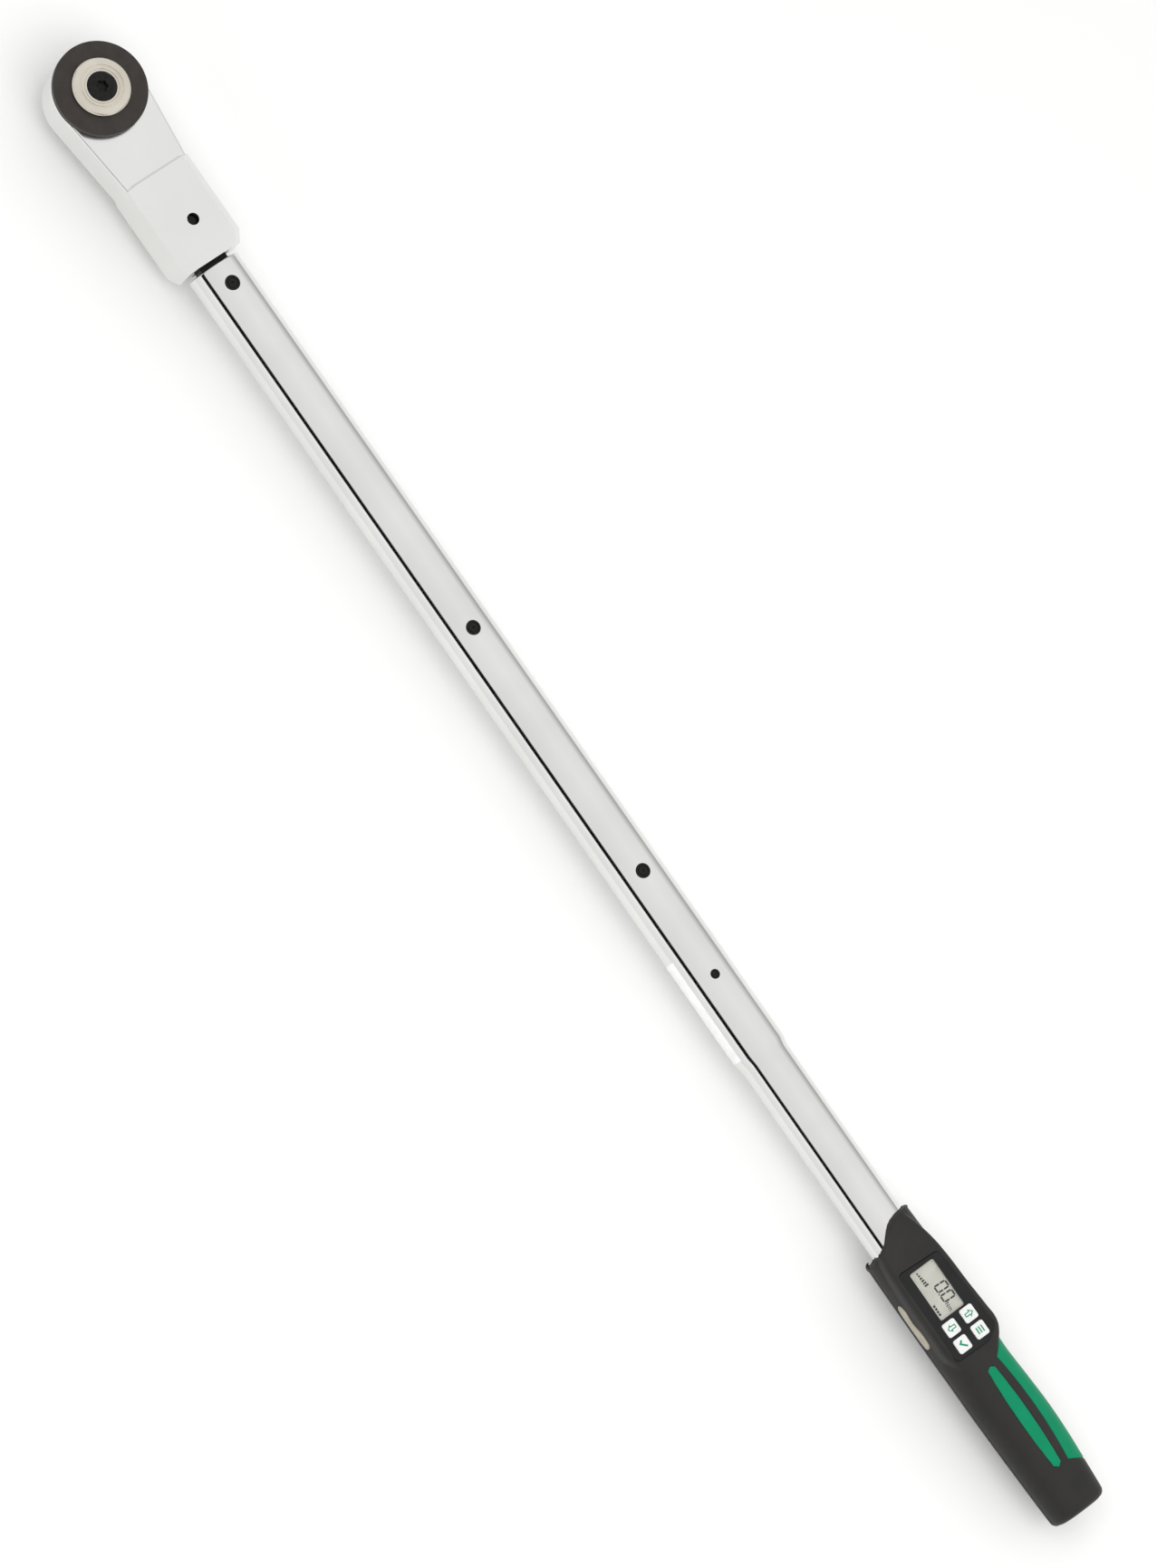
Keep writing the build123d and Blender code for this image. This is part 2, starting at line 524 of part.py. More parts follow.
with BuildPart() as tube:
    for grow, mode in ((0, Mode.ADD), (-TUBE_WALL, Mode.SUBTRACT)):
        past = 1 if mode == Mode.SUBTRACT else 0
        with BuildSketch(section(TUBE_START - past)):
            Ellipse(TUBE_A + grow, TUBE_B + grow)
        extrude(amount=NECK_START - TUBE_START + past, mode=mode)
        with BuildSketch(section(NECK_START)):
            Ellipse(TUBE_A + grow, TUBE_B + grow)
        with BuildSketch(section(NECK_END)):
            Ellipse(THIN_A + grow, THIN_B + grow)
        loft(mode=mode)
        with BuildSketch(section(NECK_END)):
            Ellipse(THIN_A + grow, THIN_B + grow)
        extrude(amount=TUBE_END - NECK_END + past, mode=mode)
    # cross holes for the pins, both walls
    for x, radius in ((PIVOT_X, PIVOT_R), (LATCH_X, ANCHOR_R), (ANCHOR_X, ANCHOR_R), (GUIDE_X, GUIDE_R)):
        with BuildSketch(level(-TUBE_B - 1)):
            with Locations((x, 0)):
                Circle(radius + FIT)
        extrude(amount=2 * TUBE_B + 2, mode=Mode.SUBTRACT)
    # window for the electronics inside the handle, and the handle's screw holes below
    with BuildSketch(level(WINDOW_FLOOR)):
        with Locations(((WINDOW_X0 + WINDOW_X1) / 2, 0)):
            Rectangle(WINDOW_X1 - WINDOW_X0, 2 * THIN_A + 2)
    extrude(amount=THIN_B, mode=Mode.SUBTRACT)
    with BuildSketch(level(-THIN_B - 1)):
        with Locations(*[(x, 0) for x in TUBE_SCREW_X]):
            Circle(HOUSING_SCREW_R + FIT)
    extrude(amount=TUBE_WALL + 2, mode=Mode.SUBTRACT)
tube.part.label = "tube"
export_step(tube.part, "parts/tube.step")


PIN_PROUD, PIN_CHAMFER, PIN_RING_DEPTH = 0.1, 0.4, 0.8
PIN_RING_SHARES, PIN_SOCKET_SHARE = (0.72, 0.6), 0.22  # of the pin's radius


def cross_pin(x, radius):
    """Pin through the tube with a small centre socket and a ring turned in each end."""
    half_length = TUBE_B + PIN_PROUD
    with BuildPart() as pin:
        with BuildSketch(level(-half_length)):
            with Locations((x, 0)):
                Circle(radius)
        extrude(amount=2 * half_length)
        chamfer(edges().filter_by(GeomType.CIRCLE), length=PIN_CHAMFER)
        for plane, into in ((level(half_length), -1), (level(-half_length), 1)):
            with BuildSketch(plane):
                with Locations((x, 0)):
                    Circle(PIN_RING_SHARES[0] * radius)
                    Circle(PIN_RING_SHARES[1] * radius, mode=Mode.SUBTRACT)
                    RegularPolygon(PIN_SOCKET_SHARE * radius, 6)
            extrude(amount=into * PIN_RING_DEPTH, mode=Mode.SUBTRACT)
    return pin.part


with BuildPart() as pivot_pin:
    add(cross_pin(PIVOT_X, PIVOT_R))
pivot_pin.part.label = "pivot_pin"
export_step(pivot_pin.part, "parts/pivot_pin.step")

with BuildPart() as anchor_pins:
    for x in (LATCH_X, ANCHOR_X):
        add(cross_pin(x, ANCHOR_R))
anchor_pins.part.label = "anchor_pins"
export_step(anchor_pins.part, "parts/anchor_pins.step")

with BuildPart() as guide_pin:
    add(cross_pin(GUIDE_X, GUIDE_R))
guide_pin.part.label = "guide_pin"
export_step(guide_pin.part, "parts/guide_pin.step")

LABEL_X0, LABEL_X1, LABEL_HALF, LABEL_THICK = 761.0, 848.0, 7.4, 0.12
with BuildPart() as range_label:
    with BuildSketch(section(LABEL_X0)):
        Ellipse(TUBE_A + LABEL_THICK + GLUE, TUBE_B + LABEL_THICK + GLUE)
        Ellipse(TUBE_A + GLUE, TUBE_B + GLUE, mode=Mode.SUBTRACT)
        with Locations((-TUBE_A, 0)):
            Rectangle(2 * TUBE_A - 8, 2 * LABEL_HALF, mode=Mode.INTERSECT)
    extrude(amount=LABEL_X1 - LABEL_X0)
range_label.part.label = "range_label"
export_step(range_label.part, "parts/range_label.step")

# ================================ release inside the tube ================================

LATCH_NOSE_X = LEVER_END + 6.5
LATCH_NOSE_R, LATCH_TAIL_R, LATCH_HALF = 5.0, 12.0, 7.5
NOTCH_HALF, NOTCH_DEPTH = 4.6, 3.0
with BuildPart() as release_latch:
    with BuildSketch(level(-LATCH_HALF)):
        with Locations((LATCH_X, 0)):
            Circle(LATCH_TAIL_R)
        with Locations((LATCH_NOSE_X, 0)):
            Circle(LATCH_NOSE_R)
        Polygon(
            (LATCH_NOSE_X, LATCH_NOSE_R),
            (LATCH_X, LATCH_TAIL_R * 0.8),
            (LATCH_X, -LATCH_TAIL_R * 0.8),
            (LATCH_NOSE_X, -LATCH_NOSE_R),
            align=None,
        )
        with Locations((LATCH_X + LATCH_TAIL_R, 0)):
            Rectangle(2 * NOTCH_DEPTH, 2 * NOTCH_HALF, mode=Mode.SUBTRACT)
        with Locations((LATCH_X, 0)):
            Circle(ANCHOR_R + FIT, mode=Mode.SUBTRACT)
    extrude(amount=2 * LATCH_HALF)
release_latch.part.label = "release_latch"
export_step(release_latch.part, "parts/release_latch.step")

RETURN_X, RETURN_SPRING_R, RETURN_WIRE = 398.0, 3.2, 0.5
INNER_HALF_WIDTH = TUBE_A - TUBE_WALL
with BuildPart() as return_springs:
    for side in (-1, 1):
        start = side * (BAR_WIDTH / 2 + 2 * GAP)
        seat = Plane(origin=(RETURN_X, start, AXIS_Z), x_dir=(1, 0, 0), z_dir=(0, side, 0))
        length = INNER_HALF_WIDTH - BAR_WIDTH / 2 - 12 * GAP
        add(spring(seat, length, RETURN_SPRING_R, RETURN_WIRE, 3))
return_springs.part.label = "return_springs"
export_step(return_springs.part, "parts/return_springs.step")

CAN_X0, CAN_X1, CAN_R, CAN_WALL = 525.0, 585.0, 11.4, 1.8
PLUNGER_R, PLUNGER_TIP_X, PLUNGER_END_X = 4.0, LATCH_X + LATCH_TAIL_R - 2.0, 560.0
TIP_WIDTH, TIP_HEIGHT, COLLAR_X, COLLAR_R, COLLAR_THICK = 3.2, 8.0, 500.0, 7.4, 2.5
COIL_GAP = 0.2
PLUNGER_SPRING_R, PLUNGER_WIRE = 5.4, 0.5
with BuildPart() as solenoid_body:
    with BuildSketch(section(CAN_X0)):
        Circle(CAN_R)
    extrude(amount=CAN_X1 - CAN_X0)
    with BuildSketch(section(CAN_X0 + CAN_WALL)):
        Circle(CAN_R - CAN_WALL)
    extrude(amount=CAN_X1 - CAN_X0 - 2 * CAN_WALL, mode=Mode.SUBTRACT)
    with BuildSketch(section(CAN_X0 - 1)):
        Circle(PLUNGER_R + FIT)
    extrude(amount=CAN_WALL + 2, mode=Mode.SUBTRACT)
solenoid_body.part.label = "solenoid_body"
export_step(solenoid_body.part, "parts/solenoid_body.step")

with BuildPart() as solenoid_coil:
    with BuildSketch(section(CAN_X0 + CAN_WALL + COIL_GAP)):
        Circle(CAN_R - CAN_WALL - GAP)
        Circle(PLUNGER_R + 0.3, mode=Mode.SUBTRACT)
    extrude(amount=CAN_X1 - CAN_X0 - 2 * CAN_WALL - 2 * COIL_GAP)
solenoid_coil.part.label = "solenoid_coil"
export_step(solenoid_coil.part, "parts/solenoid_coil.step")

with BuildPart() as solenoid_plunger:
    with BuildSketch(section(COLLAR_X)):
        Circle(PLUNGER_R)
    extrude(amount=PLUNGER_END_X - COLLAR_X)
    with BuildSketch(section(COLLAR_X)):
        Circle(COLLAR_R)
    extrude(amount=COLLAR_THICK)
    with BuildSketch(section(PLUNGER_TIP_X)):
        Rectangle(TIP_WIDTH, TIP_HEIGHT)
    extrude(amount=COLLAR_X - PLUNGER_TIP_X)
solenoid_plunger.part.label = "solenoid_plunger"
export_step(solenoid_plunger.part, "parts/solenoid_plunger.step")

plunger_spring_base = section(COLLAR_X + COLLAR_THICK + GAP)
plunger_spring_length = CAN_X0 - COLLAR_X - COLLAR_THICK - 3 * GAP
with BuildPart() as plunger_spring:
    add(spring(plunger_spring_base, plunger_spring_length, PLUNGER_SPRING_R, PLUNGER_WIRE, 5))
plunger_spring.part.label = "plunger_spring"
export_step(plunger_spring.part, "parts/plunger_spring.step")

ANCHOR_HALF = 9.5
CABLE_R = 1.2
CABLE_Y, CABLE_Z = 12.5, 3.5
CABLE_NOTCH = (14.0, 4.0)
SPACER_R = 5.0
with BuildPart() as anchor_block:
    with BuildSketch(section(ANCHOR_X - ANCHOR_HALF)):
        Ellipse(INNER_HALF_WIDTH - GAP, TUBE_B - TUBE_WALL - GAP)
        with Locations((CABLE_Y + CABLE_NOTCH[0] / 2 - 2, CABLE_Z)):
            Rectangle(*CABLE_NOTCH, mode=Mode.SUBTRACT)
    extrude(amount=2 * ANCHOR_HALF)
    with BuildSketch(level(-TUBE_B)):
        with Locations((ANCHOR_X, 0)):
            Circle(ANCHOR_R + FIT)
    extrude(amount=2 * TUBE_B, mode=Mode.SUBTRACT)
anchor_block.part.label = "anchor_block"
export_step(anchor_block.part, "parts/anchor_block.step")

with BuildPart() as spacer_rod:
    with BuildSketch(section(CAN_X1 + GAP)):
        Circle(SPACER_R)
    extrude(amount=ANCHOR_X - ANCHOR_HALF - CAN_X1 - 2 * GAP)
spacer_rod.part.label = "spacer_rod"
export_step(spacer_rod.part, "parts/spacer_rod.step")

with BuildPart() as cable_guide:
    with BuildSketch(section(GUIDE_X - ANCHOR_HALF)):
        Ellipse(INNER_HALF_WIDTH - GAP, TUBE_B - TUBE_WALL - GAP)
        with Locations((CABLE_Y + CABLE_NOTCH[0] / 2 - 2, CABLE_Z)):
            Rectangle(*CABLE_NOTCH, mode=Mode.SUBTRACT)
    extrude(amount=2 * ANCHOR_HALF)
    with BuildSketch(level(-TUBE_B)):
        with Locations((GUIDE_X, 0)):
            Circle(GUIDE_R + FIT)
    extrude(amount=2 * TUBE_B, mode=Mode.SUBTRACT)
cable_guide.part.label = "cable_guide"
export_step(cable_guide.part, "parts/cable_guide.step")

# The cable runs over the lever, down past the solenoid, and up to the board's plug.
OVER_LEVER_Y, OVER_LEVER_Z, PLUG_Z = 7.2, 9.5, 8.0
cable_points = [
    (245, OVER_LEVER_Y, AXIS_Z + OVER_LEVER_Z),
    (498, OVER_LEVER_Y, AXIS_Z + OVER_LEVER_Z),
    (517, CABLE_Y, AXIS_Z + CABLE_Z),
    (1044, CABLE_Y, AXIS_Z + CABLE_Z),
    (1054, CABLE_Y, AXIS_Z + PLUG_Z),
    (1064, CABLE_Y, AXIS_Z + PLUG_Z),
]
with BuildPart() as signal_cable:
    with BuildLine() as cable_route:
        FilletPolyline(*cable_points, radius=9)
    with BuildSketch(section(cable_points[0][0])):
        with Locations((cable_points[0][1], cable_points[0][2] - AXIS_Z)):
            Circle(CABLE_R)
    sweep(path=cable_route.wire())
signal_cable.part.label = "signal_cable"
export_step(signal_cable.part, "parts/signal_cable.step")

# ================================ handle ================================

# Oval stations along the grip: x, half width on +Y, half width on -Y, half height.
GRIP_STATIONS = [
    (HANDLE_START - 1, 24.4, 24.4, 17.2),
    (1028, 25.0, 27.2, 17.4),
    (1075, 25.5, 27.3, 17.4),
    (1120, 24.8, 27.0, 17.0),
    (1135, 24.5, 26.8, 16.8),
    (1157, 25.9, 26.6, 16.8),
    (1181, 27.0, 26.1, 16.8),
    (1208, 26.6, 25.3, 16.6),
    (1232, 25.0, 24.5, 16.2),
    (HANDLE_END, 22.8, 23.2, 15.6),
]
# Box stations of the display housing: x, half width on +Y, half width on -Y, height of its top.
POD_STATIONS = [
    (1006, 15.0, 15.0, 16.6),
    (1040, 22.0, 24.6, 19.9),
    (1075, 24.4, 25.4, 20.4),
    (1107, 26.9, 25.4, 20.4),
    (1114, 25.6, 24.4, 19.0),
    (1126, 17.0, 18.0, 14.8),
]
POD_CORNER = 5.0
END_ROUND = 5.5


def grip_form(shrink, x_end):
    """Body of the grip, shrunk all round, from the front to x_end."""
    with BuildPart() as form:
        for x, far, near, half_height in GRIP_STATIONS:
            with BuildSketch(section(min(x, x_end))):
                with Locations(((far - near) / 2, 0)):
                    Ellipse((far + near) / 2 - shrink, half_height - shrink)
        loft()
    return form.part


def pod_form():
    """Display housing that stands out of the top of the grip."""
    with BuildPart() as form:
        for x, far, near, top in POD_STATIONS:
            with BuildSketch(section(x)):
                with Locations(((far - near) / 2, top / 2)):
                    Rectangle(far + near, top)
                fillet(vertices().group_by(Axis.Z)[-1], radius=POD_CORNER)
        loft(ruled=True)
    return form.part


grip_outer = grip_form(0, HANDLE_END)
grip_inner = grip_form(HANDLE_WALL, HANDLE_END - 4)
pod_outer = pod_form()

# The rim at the front is straight across the far half and slants back on the near half.
FRONT_CONTOUR = [
    (HANDLE_START, 30), (HANDLE_START, 12), (1005.5, 2), (1009, -4.4), (1018.4, -14),
    (1022.5, -19), (1021.5, -22), (1028, -27), (1028, -32), (990, -32), (990, 30),
]
RIB_PLACES = [(1029, 10), (1124, 8), (1150, 6)]  # x and length of the webs that hold the tube
RIB_A, RIB_B = 22.6, 14.9
BELOW, ABOVE = -30.0, 60.0  # start and length of a cut through the whole handle

BEZEL_OUTLINE = [(1043.2, 17.6), (1111, 21.9), (1118.6, 12), (1117.8, -20.1), (1041, -20.1)]
BEZEL_BOTTOM, BEZEL_TOP, BEZEL_CORNER, BEZEL_LEDGE = 17.6, 19.5, 3.5, 1.2
PLAY = 0.15  # gap round covers, keys and the bezel
LCD_X0, LCD_X1, LCD_Y0, LCD_Y1 = 1046.0, 1086.4, -11.7, 10.9
KEY_LENGTH, KEY_WIDTH = 11.7, 11.6
KEY_CORNER, KEY_EDGE = 1.4, 0.35
KEY_PLACES = {
    "key_up": (1093.9, 9.1),
    "key_menu": (1108.2, 9.1),
    "key_down": (1094.9, -8.5),
    "key_enter": (1109.2, -8.5),
}
BOARD_X0, BOARD_X1, BOARD_Y0, BOARD_Y1 = 1044.5, 1114.0, -17.0, 14.5


def bezel_sketch(shrink):
    """Outline of the display bezel, shrunk all round."""
    with BuildSketch(level(0)) as outline:
        Polygon(*BEZEL_OUTLINE, align=None)
        fillet(outline.vertices(), radius=BEZEL_CORNER)
        offset(amount=-shrink)
    return outline.sketch


TOP_INLAY_TIPS = (1133.8, 1223.8)
TOP_INLAY_CORNERS_X = (1136.4, 1220.4)
TOP_INLAY_CORNER_Y, TOP_INLAY_MIDDLE_Y = 3.4, 5.9
SIDE_INLAY_X = (1131.5, 1223.0)
SIDE_INLAY_Y, SIDE_INLAY_MIDDLE_Y = 9.2, 12.5
SIDE_INLAY_OUTER_X, SIDE_INLAY_OUTER_Y = (1108.0, 1238.5), 40.0
SIDE_INLAY_BOTTOM = 1.0
INLAY_DEPTH = 1.0


def inlay_prism(kind, grow):
    """Upright prism over the plan outline of a grip inlay."""
    with BuildPart() as prism:
        with BuildSketch(level(SIDE_INLAY_BOTTOM - grow)):
            with BuildLine():
                if kind == "top":
                    x0, x1 = TOP_INLAY_CORNERS_X
                    middle = (x0 + x1) / 2
                    for side in (-1, 1):
                        y, crown = side * TOP_INLAY_CORNER_Y, side * TOP_INLAY_MIDDLE_Y
                        ThreePointArc((x0, y), (middle, crown), (x1, y))
                        Line((x0, y), (TOP_INLAY_TIPS[0], 0))
                        Line((x1, y), (TOP_INLAY_TIPS[1], 0))
                else:
                    x0, x1 = SIDE_INLAY_X
                    outer0, outer1 = SIDE_INLAY_OUTER_X
                    ThreePointArc(
                        (x0, SIDE_INLAY_Y), ((x0 + x1) / 2, SIDE_INLAY_MIDDLE_Y), (x1, SIDE_INLAY_Y)
                    )
                    Polyline(
                        (x1, SIDE_INLAY_Y),
                        (outer1, SIDE_INLAY_OUTER_Y),
                        (outer0, SIDE_INLAY_OUTER_Y),
                        (x0, SIDE_INLAY_Y),
                    )
            make_face()
            if grow:
                offset(amount=grow)
        extrude(amount=THIN_A)
    return prism.part


grip_under_inlay = grip_form(INLAY_DEPTH, HANDLE_END)

PORT_X0, PORT_X1, PORT_BOTTOM, PORT_TOP = 1060.6, 1099.0, -1.2, 7.2
PORT_THICK, PORT_REACH = 1.9, 10.0
DOOR_X0, DOOR_X1, DOOR_HALF = 1172.0, 1236.0, 14.0
DOOR_THICK, DOOR_CORNER, DOOR_CUT = 2.1, 2.5, (-25.0, 18.0)


def port_prism(grow):
    """Round-ended prism through the near wall."""
    height = PORT_TOP - PORT_BOTTOM
    with BuildPart() as prism:
        with BuildSketch(facing(-PORT_REACH, (PORT_X0 + PORT_X1) / 2, (PORT_TOP + PORT_BOTTOM) / 2)):
            SlotOverall(PORT_X1 - PORT_X0 + 2 * grow, height + 2 * grow)
        extrude(amount=2 * PORT_REACH)
    return prism.part


def door_prism(grow):
    """Rounded prism through the bottom wall for the battery cover."""
    with BuildPart() as prism:
        with BuildSketch(level(DOOR_CUT[0])):
            with Locations(((DOOR_X0 + DOOR_X1) / 2, 0)):
                RectangleRounded(DOOR_X1 - DOOR_X0 + 2 * grow, 2 * DOOR_HALF + 2 * grow, DOOR_CORNER)
        extrude(amount=DOOR_CUT[1])
    return prism.part


with BuildPart() as handle_shell_upper:
    add(grip_outer)
    fillet(faces().sort_by(Axis.X)[-1].edges(), radius=END_ROUND)
    add(pod_outer)
    add(grip_inner, mode=Mode.SUBTRACT)
    # webs inside that hold the tube
    for x, length in RIB_PLACES:
        with BuildSketch(section(x)):
            Ellipse(RIB_A, RIB_B)
        extrude(amount=length)
    with BuildSketch(section(HANDLE_START - 2)):
        Ellipse(THIN_A + GAP, THIN_B + GAP)
    extrude(amount=TUBE_END + 2 - HANDLE_START, mode=Mode.SUBTRACT)
    # room for the electronics, the opening for the bezel, and the front contour
    add(extrude(bezel_sketch(BEZEL_LEDGE), amount=BEZEL_BOTTOM - GAP), mode=Mode.SUBTRACT)
    with BuildSketch(level(BEZEL_BOTTOM - GAP)):
        add(bezel_sketch(-PLAY).moved(Location((0, 0, -AXIS_Z))))
    extrude(amount=10, mode=Mode.SUBTRACT)
    with BuildSketch(level(BELOW)):
        Polygon(*FRONT_CONTOUR, align=None)
    extrude(amount=ABOVE, mode=Mode.SUBTRACT)
    split(bisect_by=level(PARTING + GAP / 2), keep=Keep.TOP)
    for kind in ("top", "side"):
        pocket = inlay_prism(kind, GAP) - grip_under_inlay
        add(pocket, mode=Mode.SUBTRACT)
    add(port_prism(PLAY), mode=Mode.SUBTRACT)
handle_shell_upper.part.label = "handle_shell_upper"
export_step(handle_shell_upper.part, "parts/handle_shell_upper.step")

BATTERY_R, BATTERY_LENGTH, BATTERY_Y = 7.1, 50.0, 7.7
BATTERY_X0 = 1178.0
HOUSING_SCREW_PLACES = [(TUBE_SCREW_X[0], 0), (TUBE_SCREW_X[1], 0), (1247.0, 11.0), (1247.0, -11.0)]
HOUSING_HEAD_TOP, HOUSING_SHANK, FRONT_HEAD, REAR_HEAD = -15.2, 3.2, 1.6, 0.6
POST_R, POST_BOTTOM = 3.4, -14.0
SCREW_HOLE_REACH = 22.0

with BuildPart() as handle_shell_lower:
    add(grip_outer)
    fillet(faces().sort_by(Axis.X)[-1].edges(), radius=END_ROUND)
    add(grip_inner, mode=Mode.SUBTRACT)
    for x, length in RIB_PLACES:
        with BuildSketch(section(x)):
            Ellipse(RIB_A, RIB_B)
        extrude(amount=length)
    # posts for the two rear screws
    with BuildSketch(level(POST_BOTTOM)):
        with Locations(*HOUSING_SCREW_PLACES[2:]):
            Circle(POST_R)
    extrude(amount=PARTING - POST_BOTTOM)
    with BuildSketch(section(HANDLE_START - 2)):
        Ellipse(THIN_A + GAP, THIN_B + GAP)
    extrude(amount=TUBE_END + 2 - HANDLE_START, mode=Mode.SUBTRACT)
    with BuildSketch(level(BELOW)):
        Polygon(*FRONT_CONTOUR, align=None)
    extrude(amount=ABOVE, mode=Mode.SUBTRACT)
    split(bisect_by=level(PARTING - GAP / 2), keep=Keep.BOTTOM)
    add(door_prism(PLAY), mode=Mode.SUBTRACT)
    with BuildSketch(level(DOOR_CUT[0])):
        with Locations(*HOUSING_SCREW_PLACES):
            Circle(HOUSING_SCREW_R + FIT)
    extrude(amount=SCREW_HOLE_REACH, mode=Mode.SUBTRACT)
    with BuildSketch(level(DOOR_CUT[0])):
        with Locations(*HOUSING_SCREW_PLACES):
            Circle(HOUSING_HEAD_R + GAP)
    extrude(amount=HOUSING_HEAD_TOP + FIT - DOOR_CUT[0], mode=Mode.SUBTRACT)
handle_shell_lower.part.label = "handle_shell_lower"
export_step(handle_shell_lower.part, "parts/handle_shell_lower.step")

with BuildPart() as housing_screws:
    for places, head in ((HOUSING_SCREW_PLACES[:2], FRONT_HEAD), (HOUSING_SCREW_PLACES[2:], REAR_HEAD)):
        with BuildSketch(level(HOUSING_HEAD_TOP - head)):
            with Locations(*places):
                Circle(HOUSING_HEAD_R)
        extrude(amount=head)
    with BuildSketch(level(HOUSING_HEAD_TOP)):
        with Locations(*HOUSING_SCREW_PLACES):
            Circle(HOUSING_SCREW_R)
    extrude(amount=HOUSING_SHANK)
    with BuildSketch(level(HOUSING_HEAD_TOP - FRONT_HEAD - GAP)):
        with Locations(*HOUSING_SCREW_PLACES):
            RegularPolygon(1.5, 6)
    extrude(amount=HEX_DEPTH, mode=Mode.SUBTRACT)
housing_screws.part.label = "housing_screws"
export_step(housing_screws.part, "parts/housing_screws.step")

# ---- display, keys and electronics ----

with BuildPart() as display_bezel:
    with BuildSketch(level(BEZEL_BOTTOM)):
        add(bezel_sketch(0).moved(Location((0, 0, -AXIS_Z))))
        with Locations(((LCD_X0 + LCD_X1) / 2, (LCD_Y0 + LCD_Y1) / 2)):
            Rectangle(LCD_X1 - LCD_X0 + 2 * GAP, LCD_Y1 - LCD_Y0 + 2 * GAP, mode=Mode.SUBTRACT)
        with Locations(*KEY_PLACES.values()):
            RectangleRounded(
                KEY_LENGTH + 2 * PLAY, KEY_WIDTH + 2 * PLAY, KEY_CORNER + PLAY, mode=Mode.SUBTRACT
            )
    extrude(amount=BEZEL_TOP - BEZEL_BOTTOM)
display_bezel.part.label = "display_bezel"
export_step(display_bezel.part, "parts/display_bezel.step")

with BuildPart() as lcd_window:
    with BuildSketch(level(BEZEL_BOTTOM + GAP)):
        with Locations(((LCD_X0 + LCD_X1) / 2, (LCD_Y0 + LCD_Y1) / 2)):
            Rectangle(LCD_X1 - LCD_X0, LCD_Y1 - LCD_Y0)
    extrude(amount=BEZEL_TOP - BEZEL_BOTTOM - GAP - FIT)
lcd_window.part.label = "lcd_window"
export_step(lcd_window.part, "parts/lcd_window.step")

BOARD_BOTTOM, BOARD_TOP = 12.4, 14.0
HOLE_IN, BOARD_HOLE_R, SOLDER = 3.5, 1.3, 0.05
MODULE_MARGIN, MODULE_FLANK = 0.5, 2.0
with BuildPart() as lcd_module:
    with BuildSketch(level(BOARD_TOP + GAP)):
        with Locations(((LCD_X0 + LCD_X1) / 2, (LCD_Y0 + LCD_Y1) / 2)):
            Rectangle(LCD_X1 - LCD_X0 + 2 * MODULE_MARGIN, LCD_Y1 - LCD_Y0 + 2 * MODULE_FLANK)
    extrude(amount=BEZEL_BOTTOM - BOARD_TOP - 2 * GAP)
lcd_module.part.label = "lcd_module"
export_step(lcd_module.part, "parts/lcd_module.step")

KEY_FLANGE, KEY_FLANGE_BOTTOM, KEY_FLANGE_TOP, KEY_TOP = 1.0, 16.2, 17.2, 20.0
for key_name, (key_x, key_y) in KEY_PLACES.items():
    with BuildPart() as key:
        with BuildSketch(level(KEY_FLANGE_BOTTOM)):
            with Locations((key_x, key_y)):
                RectangleRounded(KEY_LENGTH, KEY_WIDTH + 2 * KEY_FLANGE, KEY_CORNER)
        extrude(amount=KEY_FLANGE_TOP - KEY_FLANGE_BOTTOM)
        with BuildSketch(level(KEY_FLANGE_TOP)):
            with Locations((key_x, key_y)):
                RectangleRounded(KEY_LENGTH, KEY_WIDTH, KEY_CORNER)
        extrude(amount=KEY_TOP - KEY_FLANGE_TOP)
        chamfer(faces().sort_by(Axis.Z)[-1].edges(), length=KEY_EDGE)
    key.part.label = key_name
    export_step(key.part, f"parts/{key_name}.step")

MAT_TOP, MAT_X, MAT_SIZE, DOME_R, DOME_HEIGHT = 15.2, 1101.4, 26.0, 3.0, 0.3
with BuildPart() as key_mat:
    with BuildSketch(level(BOARD_TOP + GAP)):
        with Locations((MAT_X, 0)):
            Rectangle(MAT_SIZE, MAT_SIZE)
    extrude(amount=MAT_TOP - BOARD_TOP - GAP)
    with BuildSketch(level(MAT_TOP)):
        with Locations(*KEY_PLACES.values()):
            Circle(DOME_R)
    extrude(amount=DOME_HEIGHT)
key_mat.part.label = "key_mat"
export_step(key_mat.part, "parts/key_mat.step")

with BuildPart() as main_board:
    with BuildSketch(level(BOARD_BOTTOM)):
        with Locations(((BOARD_X0 + BOARD_X1) / 2, (BOARD_Y0 + BOARD_Y1) / 2)):
            RectangleRounded(BOARD_X1 - BOARD_X0, BOARD_Y1 - BOARD_Y0, 2)
        with Locations((BOARD_X0 + HOLE_IN, BOARD_Y0 + HOLE_IN), (BOARD_X1 - HOLE_IN, BOARD_Y0 + HOLE_IN)):
            Circle(BOARD_HOLE_R, mode=Mode.SUBTRACT)
    extrude(amount=BOARD_TOP - BOARD_BOTTOM)
main_board.part.label = "main_board"
export_step(main_board.part, "parts/main_board.step")

# size and place of the parts soldered under the board: x, y, length, width, height
CHIPS = [
    (1058, -4, 9, 9, 1.2), (1074, -8, 7, 5, 1.4), (1076, 4, 6, 6, 1.0), (1090, 6, 4, 8, 2.2),
    (1090, -10, 5, 3, 1.2), (1066, 8, 3, 6, 1.6), (1052, -12, 4, 2.5, 1.0),
]
with BuildPart() as board_components:
    for x, y, length, width, height in CHIPS:
        with BuildSketch(level(BOARD_BOTTOM - SOLDER - height)):
            with Locations((x, y)):
                Rectangle(length, width)
        extrude(amount=height)
board_components.part.label = "board_components"
export_step(board_components.part, "parts/board_components.step")

